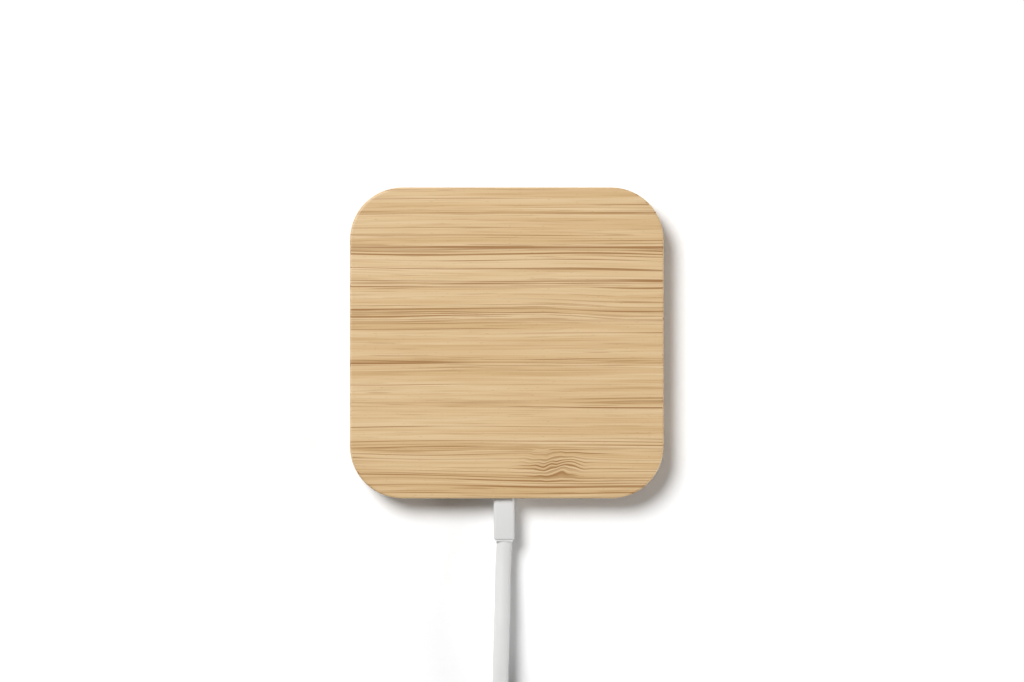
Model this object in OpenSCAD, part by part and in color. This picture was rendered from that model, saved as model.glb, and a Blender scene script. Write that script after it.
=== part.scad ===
// Wireless charging pad: a square bamboo case with a moulded base, a flat litz coil on a
// ferrite sheet, a small circuit board, and a fixed cord that ends in a USB-A plug.
// Millimetres. +Z is up, the cord leaves towards -Y, and the origin is at the middle of the
// pad on the surface that its feet stand on.

/* [Pad] */
// Width of the pad
pad_w = 90; // [84:0.1:120]
// Depth of the pad, towards the cord
pad_d = 89.2; // [84:0.1:120]
// Height of the bamboo case, without the feet
case_h = 8; // [7.8:0.1:12]
// Radius of the four corners seen from above
corner_r = 15; // [10:0.5:20]
// Radius of the rounded edge round the charging surface
top_edge_r = 0.6; // [0.3:0.1:1.5]
// Radius of the rounded edge round the underside
bottom_edge_r = 0.3; // [0.2:0.1:0.6]
// Thickness of the bamboo over the coil
roof_t = 1.6; // [1.2:0.1:2.5]
// Width of the wall round the electronics
wall_t = 4; // [3.5:0.1:6]

/* [Base] */
// Width of the bamboo rim that shows round the base plate
rim_w = 2.5; // [2:0.1:3]
// Thickness of the base plate at its border
plate_border_t = 1.6; // [1.4:0.1:2.2]
// Thickness of the base plate under the electronics
plate_floor_t = 1.2; // [1:0.1:1.6]
// Height of the lip that locates the plate in the case
lip_h = 0.7; // [0.5:0.1:1]
// Width of that lip
lip_w = 1.2; // [0.8:0.1:1.6]
// Distance from the pad's sides to each screw
screw_inset = 9.5; // [8:0.5:12]
// Outer diameter of the screw thread
screw_d = 2; // [1.6:0.1:2.5]
// Length of the screws
screw_l = 5; // [4:0.5:6]
// Diameter of the screw heads
screw_head_d = 3.8; // [3.4:0.1:4.5]
// Distance from a screw to the slanted face of its post
post_reach = 6.4; // [4:0.1:7]
// Diameter of the feet
foot_d = 8; // [6:0.5:10]
// Distance from the pad's sides to each foot's middle
foot_inset = 16; // [14.5:0.5:20]
// Height that the feet stand out of the base plate
foot_proud = 0.8; // [0.5:0.1:1.5]
// Depth of the recess that each foot is glued in
foot_recess = 0.6; // [0.4:0.1:0.8]

/* [Coil and board] */
// Thickness of the litz wire
coil_wire_d = 1.1; // [0.8:0.05:1.4]
// Gap between the coil's turns
coil_gap = 0.15; // [0.1:0.01:0.3]
// Turns in the coil
coil_turns = 10; // [6:1:10]
// Inner diameter of the winding
coil_inner_d = 20; // [18:0.5:20]
// Thickness of the tape between coil and case
coil_tape_t = 0.15; // [0.1:0.05:0.3]
// Thickness of the tape between coil and ferrite
ferrite_tape_t = 0.1; // [0.1:0.05:0.2]
// How far the ferrite sheet stands out past the coil
ferrite_margin = 1.4; // [1:0.1:2]
// Thickness of the ferrite sheet
ferrite_t = 0.8; // [0.6:0.1:1]
// How far the foam under the ferrite is set in from its edge
foam_inset = 1; // [0.5:0.1:3]
// Thickness of that foam
foam_t = 0.3; // [0.2:0.1:0.6]
// How far the circuit board stands out past the ferrite
board_margin = 4; // [3.5:0.1:5]
// Thickness of the circuit board
board_t = 1; // [0.8:0.1:1.2]
// Distance from the board's edges to its locating pins
pin_inset = 3; // [2.5:0.1:3.2]
// Diameter of the locating pins
pin_d = 1.6; // [1.2:0.1:2]
// Diameter of the light pipe
light_pipe_d = 2; // [1.5:0.1:2.4]

/* [Cord] */
// Diameter of the cord
cord_d = 4.5; // [3.5:0.1:4.6]
// Diameter of each wire in the cord
wire_d = 1; // [0.7:0.05:1.1]
// Length of the strain relief outside the case
relief_l = 12.4; // [8:0.1:20]
// Strain relief's thickness beside the cord
relief_side_t = 0.75; // [0.5:0.05:1]
// Strain relief's thickness above and below the cord
relief_top_t = 0.45; // [0.3:0.05:0.6]
// How far the collar inside the case stands out beyond the strain relief, each side
collar_proud = 1.5; // [1:0.1:3]
// Sideways place of the cord
cable_x = -0.8; // [-5:0.1:5]

/* [Plug] */
// Length of the grip, without its tapered neck
grip_l = 24; // [22:1:30]
// Width of the grip
grip_w = 15.6; // [15:0.1:18]
// Height of the grip
grip_h = 7.8; // [7:0.1:8]
// Length of the tapered neck
neck_l = 9; // [6:1:12]

/* [Clearances] */
// Gap round the base plate in its rebate
plate_gap = 0.15; // [0.1:0.05:0.3]
// Gap round the strain relief in its notch
notch_gap = 0.1; // [0.05:0.05:0.2]
// Gap round the screws, the pins and the light pipe
pin_gap = 0.05; // [0.03:0.01:0.1]
// Gap between pieces that are moulded or glued together
seat_gap = 0.05; // [0.02:0.01:0.1]

/* [Hidden] */
$fn = 64;
// Added to a cut so that it passes a face
past = 1;

// Heights, from the surface up
z_case = foot_proud;
z_ledge = z_case + plate_border_t;
z_floor = z_case + plate_floor_t;
z_top = z_case + case_h;
z_ceiling = z_top - roof_t;
z_coil = z_ceiling - coil_tape_t - coil_wire_d;
z_coil_mid = z_coil + coil_wire_d / 2;
z_ferrite = z_coil - ferrite_tape_t - ferrite_t;
z_board_top = z_ferrite - foam_t;
z_board = z_board_top - board_t;

// The pocket inside the case, and the screws in the corners that it leaves
pocket_w = pad_w - 2 * wall_t;
pocket_d = pad_d - 2 * wall_t;
pocket_r = corner_r - wall_t;
screw_x = pad_w / 2 - screw_inset;
screw_y = pad_d / 2 - screw_inset;
pocket_diagonal = screw_x + screw_y - post_reach * sqrt(2);
screw_head_h = 1;
screw_sunk = 0.15;
foot_x = pad_w / 2 - foot_inset;
foot_y = pad_d / 2 - foot_inset;

// The cord's exit: the strain relief seats on the base plate's tongue
relief_w = cord_d + 2 * relief_side_t;
relief_h = cord_d + 2 * relief_top_t;
relief_corner_r = 1.6;
relief_nose_l = 0.8;
relief_nose_step = 0.5;
tongue_t = 0.6;
cable_z = z_case + tongue_t + notch_gap + relief_h / 2;
collar_w = relief_w + 2 * collar_proud;
collar_t = 1.6;
jacket_end_y = -pocket_d / 2 + 4.6;

// The coil's spiral starts and ends on the -X side; the ferrite, foam and board follow its size
coil_steps = 32;
coil_pitch = coil_wire_d + coil_gap;
coil_r_in = coil_inner_d / 2 + coil_wire_d / 2;
coil_r_out = coil_r_in + coil_pitch * coil_turns;
thermistor_hole_d = 4;
ferrite_w = 2 * coil_r_out + coil_wire_d + 2 * ferrite_margin;
foam_w = ferrite_w - 2 * foam_inset;
board_w = ferrite_w + 2 * board_margin;
pin_at = board_w / 2 - pin_inset;

// The board's two tabs reach from the square board towards the cord and the light pipe
cord_tab_w = 12;
cord_tab_y = jacket_end_y + 3.4;
led_tab_w = 10;
led_tab_y = pocket_d / 2 - 3.6;
led_w = 1.6;
led_d = 0.8;
led_h = 0.7;
led_z = z_board_top + led_h / 2;

// Where the wires and the coil's leads are soldered to the board's top
wire_z = z_board_top + wire_d / 2 + 0.05;
wire_end_y = cord_tab_y + 2;
wire_row = 0.9;
joint_d = 1.6;
joint_h = 1;
lead_d = 1;
lead_z = z_board_top + lead_d / 2 + 0.1;
lead_end_x = -board_w / 2 + 1.8;
lead_y = 2;
slot_w = lead_d + 0.5;

// The cord's route from the strain relief to its coil
CORD_IN = [
    [-0.8, -57, 4.2], [-0.8, -58.5, 4.2], [-1, -62, 4.3], [-1.2, -68, 4.7], [-1.3, -75, 5.3],
    [-1.5, -82, 5.8], [-1.7, -90, 6], [-1.9, -98, 5.7], [-2.2, -108, 4.8], [-2.4, -118, 3.6],
    [-2.5, -126, 3],
];
// The cord's route from its coil to the plug
CORD_OUT = [
    [27, -163.5, 7.5], [35, -163.9, 7.4], [43, -165.6, 6.6], [50.5, -169.5, 5.3],
    [56.2, -175.5, 3.8], [58.8, -182.5, 2.7], [57.5, -190, 2.3], [52.5, -195.8, 2.3],
    [45, -198.3, 2.4], [37, -198.8, 2.9], [29, -198.8, 3.6], [21, -198.8, 4], [15, -198.8, 4],
];
// The coil of cord: its middle, the radius at the middle of its turns, its rows and its layers
CORD_COIL = [27, -134];
cord_coil_r = 25;
cord_coil_rows = 3;
cord_coil_layers = 2;
// The twist ties lift the coil by their thickness
tie_t = 0.6;
tie_w = 4;
tie_gap = 0.05;
tie_tail_l = 12;
TIE_ANGLES = [20, 200];
coil_lift = tie_t + 2 * tie_gap;

// The USB-A plug, along its own X from the end of the cord
shell_w = 12;
shell_h = 4.5;
shell_t = 0.3;
shell_l = 18.75;
shell_out = 12;
plug_l = neck_l + grip_l + shell_out;
shell_x = plug_l - shell_l;
tongue_l = 10.6;
contact_tongue_t = 1.84;
contact_w = 1;
contact_t = 0.3;
contact_z = -0.19;
CONTACT_Y = [-3.5, -1, 1, 3.5];
plug_jacket_l = neck_l + 4;
fan_l = 3;
mould_x = plug_jacket_l + fan_l;
mould_w = 11.5;
mould_h = 5.5;
mould_l = shell_x - mould_x - seat_gap;
wire_slot_w = 9.6;

// ---------------------------------------------------------------- shared shapes

function unit(v) = v / norm(v);

// The direction of travel at point i of a route
function heading(route, i) = unit(route[min(i + 1, len(route) - 1)] - route[max(i - 1, 0)]);

// The ring of points that a tube has round point i of its route
function ring(route, i, r, sides) =
    let (along = heading(route, i), side = unit(cross(along, [0, 0, 1])), up = cross(side, along))
    [for (k = [0:sides - 1]) route[i] + r * (cos(360 * k / sides) * side + sin(360 * k / sides) * up)];

// A closed tube swept along a route
module tube(route, d, sides = 8) {
    rings = len(route);
    points = [for (i = [0:rings - 1]) each ring(route, i, d / 2, sides)];
    walls = [
        for (i = [0:rings - 2], k = [0:sides - 1])
            let (here = i * sides, next = here + sides, turn = (k + 1) % sides)
                [here + k, here + turn, next + turn, next + k]
    ];
    first = [for (k = [sides - 1:-1:0]) k];
    last = [for (k = [0:sides - 1]) (rings - 1) * sides + k];
    polyhedron(points, concat([first], walls, [last]), convexity = 6);
}

// A rectangle with round corners, centred
module rounded_rect(w, d, r) {
    square([w - 2 * r, d], center = true);
    square([w, d - 2 * r], center = true);
    for (x = [-1, 1], y = [-1, 1])
        translate([x * (w / 2 - r), y * (d / 2 - r)]) circle(r);
}

// Its outline follows the pocket in the case, drawn in by inset
module pocket_outline(inset) {
    intersection() {
        rounded_rect(pocket_w - 2 * inset, pocket_d - 2 * inset, pocket_r - inset);
        rotate(45) square((pocket_diagonal - inset * sqrt(2)) * sqrt(2), center = true);
    }
}

// A slab with round corners and round edges, standing on z = 0
module soft_slab(w, d, h, r, top_r, bottom_r) {
    steps = 4;
    top_arc = [for (k = [0:steps]) let (a = 90 * k / steps)
        [r - top_r + top_r * cos(a), h - top_r + top_r * sin(a)]];
    bottom_arc = [for (k = [0:steps]) let (a = 90 * k / steps - 90)
        [r - bottom_r + bottom_r * cos(a), bottom_r + bottom_r * sin(a)]];
    hull()
        for (x = [-1, 1], y = [-1, 1])
            translate([x * (w / 2 - r), y * (d / 2 - r), 0])
                rotate_extrude($fn = 56) polygon(concat([[0, 0]], bottom_arc, top_arc, [[0, h]]));
}

// Extrudes a section along X: its x becomes Y and its y becomes Z
module along_x(l) { rotate([90, 0, 90]) linear_extrude(l) children(); }

// Extrudes a section from the cord's exit axis towards -Y, starting at y
module along_cable(y, l) {
    translate([cable_x, y, cable_z]) rotate([90, 0, 0]) linear_extrude(l) children();
}

module at_screws() {
    for (x = [-1, 1], y = [-1, 1])
        translate([x * screw_x, y * screw_y, z_case]) children();
}

module at_pins() {
    for (x = [-1, 1], y = [-1, 1])
        translate([x * pin_at, y * pin_at, 0]) children();
}

// ---------------------------------------------------------------- case and base

module bamboo_case() {
    color("#d5b68b") difference() {
        translate([0, 0, z_case]) soft_slab(pad_w, pad_d, case_h, corner_r, top_edge_r, bottom_edge_r);
        // rebate for the base plate
        translate([0, 0, z_case - past]) linear_extrude(plate_border_t + past)
            rounded_rect(pad_w - 2 * rim_w, pad_d - 2 * rim_w, corner_r - rim_w);
        // pocket for the electronics
        translate([0, 0, z_ledge - past]) linear_extrude(z_ceiling - z_ledge + past) pocket_outline(0);
        at_screws() cylinder(h = screw_sunk + screw_l + 0.4, d = screw_d + 2 * pin_gap);
        cable_notch();
        translate([0, pad_d / 2 + past, led_z]) rotate([90, 0, 0])
            cylinder(h = wall_t + 2 * past, d = light_pipe_d + 2 * pin_gap);
    }
}

// The notch that the strain relief is laid in from below
module cable_notch() {
    w = relief_w + 2 * notch_gap;
    along_cable(-pocket_d / 2 + past, wall_t + 2 * past) {
        rounded_rect(w, relief_h + 2 * notch_gap, relief_corner_r);
        translate([-w / 2, -cable_z]) square([w, cable_z]);
    }
}

module base_plate() {
    plate_w = pad_w - 2 * rim_w - 2 * plate_gap;
    plate_d = pad_d - 2 * rim_w - 2 * plate_gap;
    tongue_w = relief_w;
    color("#e4e4e2") difference() {
        union() {
            translate([0, 0, z_case]) linear_extrude(plate_border_t)
                rounded_rect(plate_w, plate_d, corner_r - rim_w - plate_gap);
            // tongue that closes the cord's notch from below
            translate([cable_x - tongue_w / 2, -pad_d / 2 + bottom_edge_r, z_case])
                cube([tongue_w, rim_w + past, tongue_t]);
            translate([0, 0, z_ledge - past]) linear_extrude(lip_h + past) pocket_outline(plate_gap);
        }
        // thinner floor inside the lip
        translate([0, 0, z_floor]) linear_extrude(z_ceiling - z_floor) pocket_outline(plate_gap + lip_w);
        // room for the strain relief and its collar
        translate([cable_x - relief_w / 2 - notch_gap, -pad_d / 2 - past, z_case + tongue_t])
            cube([relief_w + 2 * notch_gap, wall_t + 2 * past, relief_h]);
        translate([cable_x - collar_w / 2 - notch_gap, -pocket_d / 2 - notch_gap, z_case + tongue_t])
            cube([collar_w + 2 * notch_gap, collar_t + 3 * notch_gap + seat_gap, relief_h]);
        along_cable(jacket_end_y + wire_d, wall_t + collar_t) circle(d = cord_d + 2 * notch_gap);
        at_screws() {
            translate([0, 0, -past]) cylinder(h = plate_border_t + 2 * past, d = screw_d + 4 * pin_gap);
            translate([0, 0, -past]) cylinder(h = screw_sunk + past, d = screw_head_d + 2 * pin_gap);
            translate([0, 0, screw_sunk])
                cylinder(h = screw_head_h, d1 = screw_head_d + 2 * pin_gap, d2 = screw_d + 2 * pin_gap);
        }
        for (i = [0:3]) at_foot(i) translate([0, 0, -past])
            cylinder(h = foot_proud + foot_recess + past, d = foot_d + 4 * seat_gap);
    }
    color("#e4e4e2") board_posts();
}

// Posts that carry the board, with pins that locate it
module board_posts() {
    at_pins() {
        translate([0, 0, z_floor]) cylinder(h = z_board - seat_gap - z_floor, d = pin_d + 1.8);
        translate([0, 0, z_floor]) cylinder(h = z_board_top + 0.2 - z_floor, d = pin_d);
    }
}

module base_screws() {
    slot = 0.5;
    color("#b9b9b6") at_screws() translate([0, 0, screw_sunk]) difference() {
        union() {
            cylinder(h = screw_head_h, d1 = screw_head_d, d2 = screw_d);
            cylinder(h = screw_l - screw_d / 2, d = screw_d);
            translate([0, 0, screw_l - screw_d / 2]) cylinder(h = screw_d / 2, d1 = screw_d, d2 = 0.4);
        }
        for (a = [0, 90]) rotate(a) cube([screw_head_d * 0.55, slot, 1.3], center = true);
    }
}

// Places the middle of foot i on the surface
module at_foot(i) {
    translate([(i % 2 == 0 ? -1 : 1) * foot_x, (i < 2 ? -1 : 1) * foot_y, 0]) children();
}

module foot(i) {
    r = foot_d / 2;
    chamfer = 0.4;
    h = foot_proud + foot_recess - seat_gap;
    color("#3a3a3a") at_foot(i)
        rotate_extrude() polygon([[0, 0], [r - chamfer, 0], [r, chamfer], [r, h], [0, h]]);
}

// ---------------------------------------------------------------- cord at the case

module strain_relief() {
    inside_l = wall_t - seat_gap;
    color("#dcdcdb") difference() {
        union() {
            along_cable(-pocket_d / 2 - seat_gap, inside_l + relief_l - relief_nose_l)
                rounded_rect(relief_w, relief_h, relief_corner_r);
            along_cable(-pocket_d / 2 - past, inside_l + relief_l - past + seat_gap)
                rounded_rect(relief_w - relief_nose_step, relief_h - relief_nose_step, relief_corner_r - 0.3);
            along_cable(-pocket_d / 2 + collar_t + seat_gap, collar_t + past)
                rounded_rect(relief_w - 0.4, relief_h - 0.4, relief_corner_r - 0.2);
            along_cable(-pocket_d / 2 + collar_t + seat_gap, collar_t)
                rounded_rect(collar_w, relief_h - 0.2, relief_corner_r - 0.1);
        }
        along_cable(0, pad_d) circle(d = cord_d);
    }
}

// The cord's jacket, through the strain relief and into the case
module cable_jacket_end() {
    color("#e2e2e1") along_cable(jacket_end_y, pad_d / 2 + relief_l + jacket_end_y) circle(d = cord_d);
}

// One wire from the jacket to its pad: side is -1 or 1, upper is true for the two inner pads
module pad_wire(side, upper) {
    out = upper ? wire_row : 3 * wire_row;
    start = [side * 0.6, 0, cable_z + (upper ? 0.6 : -0.6)];
    bend = upper ? [side * 0.7, 1.5, cable_z + 0.8] : [side * 1.4, 1.5, cable_z - 0.2];
    over = [side * (out - 0.1), 2.8, wire_z - (upper ? 0 : 0.1)];
    route = [start, start + [0, 0.5, 0], bend, over, [side * out, 4, wire_z],
        [side * out, wire_end_y - jacket_end_y, wire_z]];
    translate([cable_x, jacket_end_y, 0]) tube(route, wire_d);
}

module wire_red() { color("#c4302b") pad_wire(-1, false); }
module wire_white() { color("#f2f2f0") pad_wire(-1, true); }
module wire_green() { color("#2f8f4e") pad_wire(1, true); }
module wire_black() { color("#1d1d1f") pad_wire(1, false); }

module solder_joints() {
    color("#c9ccd0") {
        for (x = [-3, -1, 1, 3])
            translate([cable_x + x * wire_row, wire_end_y + seat_gap + joint_d / 2, z_board_top])
                cylinder(h = joint_h, d1 = joint_d, d2 = joint_d * 0.6);
        for (y = [-lead_y, lead_y])
            translate([lead_end_x - seat_gap - joint_d / 2, y, z_board_top])
                cylinder(h = joint_h, d1 = joint_d, d2 = joint_d * 0.6);
    }
}

// ---------------------------------------------------------------- coil and ferrite

// A point of the winding, turned from its start on the -X side
function spiral_point(turn, offset) =
    (coil_r_in + coil_pitch * turn + offset) * [cos(180 + 360 * turn), sin(180 + 360 * turn)];

module coil_winding() {
    last = coil_turns * coil_steps;
    half = coil_wire_d / 2;
    outer = [for (k = [0:last]) spiral_point(k / coil_steps, half)];
    inner = [for (k = [last:-1:0]) spiral_point(k / coil_steps, -half)];
    color("#b5673a") translate([0, 0, z_coil]) linear_extrude(coil_wire_d) polygon(concat(outer, inner));
}

// The inner end of the winding folds under it and runs out through the ferrite's slot
module coil_lead_inner() {
    r = coil_r_in;
    color("#b5673a") tube([
        [-r, seat_gap, z_coil_mid], [-r, 0.5, z_coil_mid], [-r + 0.5, 1.2, z_coil_mid - 0.2],
        [-r + 1.3, 1.7, z_coil_mid - 0.5], [-r + 1.8, 1.9, lead_z + 0.3],
        [-r + 1.3, lead_y, lead_z + 0.05], [-r, lead_y, lead_z],
        [-ferrite_w / 2, lead_y, lead_z], [lead_end_x, lead_y, lead_z],
    ], lead_d);
}

module coil_lead_outer() {
    r = coil_r_out;
    edge = -ferrite_w / 2;
    color("#b5673a") tube([
        [-r, -seat_gap, z_coil_mid], [-r, -0.5, z_coil_mid], [-r - 0.4, -1.3, z_coil_mid],
        [-r - 1, -lead_y + 0.1, z_coil_mid],
        [edge - 0.3, -lead_y, z_coil_mid], [edge - 1.4, -lead_y, z_coil_mid - 0.7],
        [lead_end_x, -lead_y, lead_z],
    ], lead_d);
}

// The way through ferrite, tape and foam for the inner lead and the thermistor
module lead_slot() {
    circle(d = thermistor_hole_d);
    translate([-ferrite_w / 2 - past, lead_y - slot_w / 2])
        square([ferrite_w / 2 - coil_r_in + past, slot_w]);
    translate([-coil_r_in - 0.7, -0.8]) square([3.4, lead_y + slot_w / 2 + 0.8]);
}

module coil_tape() {
    color("#e9e4d2") translate([0, 0, z_coil + coil_wire_d]) linear_extrude(coil_tape_t)
        circle(coil_r_out + coil_wire_d / 2);
}

module ferrite_tape() {
    color("#e9e4d2") translate([0, 0, z_coil - ferrite_tape_t]) linear_extrude(ferrite_tape_t)
        difference() {
            rounded_rect(ferrite_w, ferrite_w, 2);
            lead_slot();
        }
}

module ferrite_sheet() {
    color("#3b3d40") translate([0, 0, z_ferrite]) linear_extrude(ferrite_t)
        difference() {
            rounded_rect(ferrite_w, ferrite_w, 2);
            lead_slot();
        }
}

module insulating_foam() {
    color("#55585c") translate([0, 0, z_board_top]) linear_extrude(foam_t)
        difference() {
            rounded_rect(foam_w, foam_w, 2);
            lead_slot();
        }
}

module coil_thermistor() {
    body_d = 2.4;
    body_z = z_coil + 0.1;
    leg_d = 0.5;
    color("#20242b") {
        translate([0, 0, body_z]) cylinder(h = coil_wire_d - 0.2, d = body_d);
        for (x = [-0.6, 0.6]) translate([x, 0, z_board_top]) cylinder(h = body_z - z_board_top, d = leg_d);
    }
}

// ---------------------------------------------------------------- circuit board

module circuit_board() {
    color("#1f6b45") translate([0, 0, z_board]) linear_extrude(board_t) difference() {
        union() {
            intersection() {
                rounded_rect(board_w, board_w, 4);
                pocket_outline(plate_gap + lip_w);
            }
            translate([cable_x - cord_tab_w / 2, cord_tab_y]) square([cord_tab_w, -cord_tab_y]);
            translate([-led_tab_w / 2, 0]) square([led_tab_w, led_tab_y]);
        }
        at_pins() circle(d = pin_d + 4 * pin_gap);
    }
}

// Hangs a component under the board at x and y, turned by angle
module under_board(x, y, angle = 0) {
    translate([x, y, z_board]) rotate(angle) mirror([0, 0, 1]) children();
}

// A two-ended surface-mount part with its metal ends
module chip(l, w, h) {
    cap = l * 0.18;
    translate([-l / 2 + 0.02, -w / 2 + 0.02, 0]) cube([l - 0.04, w - 0.04, h - 0.02]);
    for (x = [-l / 2, l / 2 - cap]) translate([x, -w / 2, 0]) cube([cap, w, h]);
}

// A flat moulded package on a side w, with pins pads on each of its four sides
module flat_package(w, h, pins) {
    pitch = w / (pins + 1);
    translate([-w / 2, -w / 2, 0]) cube([w, w, h]);
    for (a = [0:90:270], k = [1:pins])
        rotate(a) translate([w / 2 - 0.3, k * pitch - w / 2 - pitch / 4, 0]) cube([0.36, pitch / 2, 0.2]);
}

module controller_chip() { color("#232427") under_board(4, 8) flat_package(5, 0.9, 8); }

module bridge_transistors() {
    color("#232427") for (y = [-5, 5]) under_board(-11, y) flat_package(3.3, 0.9, 4);
}

module resonant_capacitors() {
    color("#b88a5a") for (y = [-6, -2, 2, 6]) under_board(-20, y) chip(3.2, 2.5, 1.25);
}

module input_capacitors() {
    color("#b88a5a") for (x = [-6, 0, 6]) under_board(x, -16, 90) chip(3.2, 1.6, 1.2);
}

module sense_resistor() { color("#2a2a2c") under_board(-3, -9) chip(3.2, 1.6, 0.6); }

module input_fuse() { color("#d9d3bd") under_board(-4, -22) chip(3.2, 1.6, 0.7); }

module chip_resistors() {
    color("#2a2a2c") {
        for (k = [0:4]) under_board(12, 2 + 3 * k, 90) chip(1.6, 0.8, 0.45);
        for (k = [0:3]) under_board(-4 + 3 * k, 17) chip(1.6, 0.8, 0.45);
    }
}

module chip_capacitors() {
    color("#b88a5a") {
        for (k = [0:4]) under_board(15.5, 2 + 3 * k, 90) chip(1.6, 0.8, 0.8);
        for (k = [0:3]) under_board(4, -4 - 2 * k) chip(1.6, 0.8, 0.8);
    }
}

module status_led() {
    color("#f6f4dc") translate([-led_w / 2, led_tab_y - led_d, z_board_top]) cube([led_w, led_d, led_h]);
}

module light_pipe() {
    flange_t = 0.8;
    start_y = led_tab_y + 0.2;
    color("#eef3f6") translate([0, 0, led_z]) {
        translate([0, start_y, 0]) rotate([-90, 0, 0]) cylinder(h = pad_d / 2 - start_y, d = light_pipe_d);
        translate([0, pocket_d / 2 - seat_gap - flange_t, 0]) rotate([-90, 0, 0])
            cylinder(h = flange_t, d = light_pipe_d + 1);
    }
}

// ---------------------------------------------------------------- cord and its coil

module cord_run() { color("#dfdfde") tube(CORD_IN, cord_d, 10); }
module cord_tail() { color("#dfdfde") tube(CORD_OUT, cord_d, 10); }

module cord_coil() {
    band_w = cord_coil_rows * cord_d;
    band_h = cord_coil_layers * cord_d;
    color("#dfdfde") translate([CORD_COIL.x, CORD_COIL.y, coil_lift]) rotate_extrude()
        translate([cord_coil_r, band_h / 2]) rounded_rect(band_w, band_h, cord_d / 2 - 0.05);
}

// Each tie wraps the whole bundle, with its twisted ends on top
module coil_ties() {
    curve_room = 0.25;
    hole_w = cord_coil_rows * cord_d + 2 * tie_gap + curve_room;
    hole_h = cord_coil_layers * cord_d + 2 * tie_gap;
    color("#f0f0ee") for (a = TIE_ANGLES)
        translate([CORD_COIL.x, CORD_COIL.y, coil_lift - tie_gap + hole_h / 2]) rotate(a)
            translate([cord_coil_r - curve_room / 2, 0, 0]) {
                translate([0, tie_w / 2, 0]) rotate([90, 0, 0]) linear_extrude(tie_w) difference() {
                    rounded_rect(hole_w + 2 * tie_t, hole_h + 2 * tie_t, 2);
                    rounded_rect(hole_w, hole_h, 2 - tie_t);
                }
                translate([0, 0, hole_h / 2 + tie_t + 0.4]) rotate([-90, 0, 0])
                    cylinder(h = tie_tail_l, d = 1.4, $fn = 24);
            }
}

// ---------------------------------------------------------------- plug

// Turns the plug's own X to the way that it lies, at the end of the cord
module at_plug() { translate(CORD_OUT[len(CORD_OUT) - 1]) rotate(180) children(); }

module plug_grip() {
    wall = 0.7;
    color("#e2e2e1") at_plug() difference() {
        union() {
            rotate([0, 90, 0]) cylinder(h = neck_l + past, r1 = cord_d / 2 + wall, r2 = grip_h / 2 - 0.3);
            translate([neck_l, 0, 0]) along_x(grip_l) rounded_rect(grip_w, grip_h, 2.2);
        }
        translate([-past, 0, 0]) rotate([0, 90, 0]) cylinder(h = plug_jacket_l + past, d = cord_d);
        translate([plug_jacket_l - seat_gap, 0, 0]) along_x(fan_l + 2 * seat_gap)
            square([wire_slot_w, 3.4], center = true);
        translate([mould_x - seat_gap, 0, 0]) along_x(shell_x - mould_x + seat_gap)
            square([mould_w + 2 * seat_gap, mould_h + 2 * seat_gap], center = true);
        translate([shell_x - seat_gap, 0, 0]) along_x(shell_l)
            rounded_rect(shell_w + 2 * seat_gap, shell_h + 2 * seat_gap, 0.6 + seat_gap);
    }
}

module plug_jacket_end() {
    color("#dfdfde") at_plug() rotate([0, 90, 0]) cylinder(h = plug_jacket_l - seat_gap, d = cord_d);
}

module plug_inner_mould() {
    color("#cfd6d8") at_plug() translate([mould_x, 0, 0]) along_x(mould_l) difference() {
        square([mould_w, mould_h], center = true);
        square([wire_slot_w, 1.6], center = true);
    }
}

// The four wires fan out from the jacket to the contacts' tails
module plug_wires() {
    start = plug_jacket_l;
    end = shell_x - 1;
    color("#b9b9b9") at_plug() for (y = CONTACT_Y) {
        inner = abs(y) < 2;
        side = sign(y);
        z = inner ? 0.6 : -0.6;
        tube([
            [start, side * 0.6, z], [start + 0.5, side * 0.6, z],
            [start + 1.7, side * (inner ? 0.8 : 2), z * 0.8],
            [mould_x + 0.4, y, contact_z], [end, y, contact_z],
        ], wire_d);
    }
}

module plug_shell() {
    hole_l = 2.5;
    hole_w = 2.2;
    color("#c8cacc") at_plug() difference() {
        translate([shell_x, 0, 0]) along_x(shell_l) difference() {
            rounded_rect(shell_w, shell_h, 0.6);
            rounded_rect(shell_w - 2 * shell_t, shell_h - 2 * shell_t, 0.3);
        }
        for (y = [-3, 3]) translate([plug_l - 6.4, y, 0])
            cube([hole_l, hole_w, shell_h + past], center = true);
    }
}

module plug_insulator() {
    inside_w = shell_w - 2 * shell_t - 2 * seat_gap;
    inside_h = shell_h - 2 * shell_t - 2 * seat_gap;
    block_l = shell_l - tongue_l - 0.7;
    color("#f3f3f1") at_plug() translate([shell_x + 0.3, 0, 0]) difference() {
        union() {
            along_x(block_l) rounded_rect(inside_w, inside_h, 0.3);
            translate([0, 0, -inside_h / 2 + contact_tongue_t / 2]) along_x(block_l + tongue_l)
                square([inside_w - 0.2, contact_tongue_t], center = true);
        }
        for (y = CONTACT_Y)
            translate([-past, y - contact_w / 2 - seat_gap, contact_z - contact_t / 2 - seat_gap])
                cube([block_l + tongue_l - 0.6 + past, contact_w + 2 * seat_gap, contact_t + 2 * seat_gap]);
    }
}

module plug_contacts() {
    color("#d8b04c") at_plug() for (y = CONTACT_Y)
        translate([shell_x - 1 + seat_gap, y - contact_w / 2, contact_z - contact_t / 2])
            cube([shell_l - (abs(y) < 2 ? 2 : 1), contact_w, contact_t]);
}

// ---------------------------------------------------------------- nodes

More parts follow.
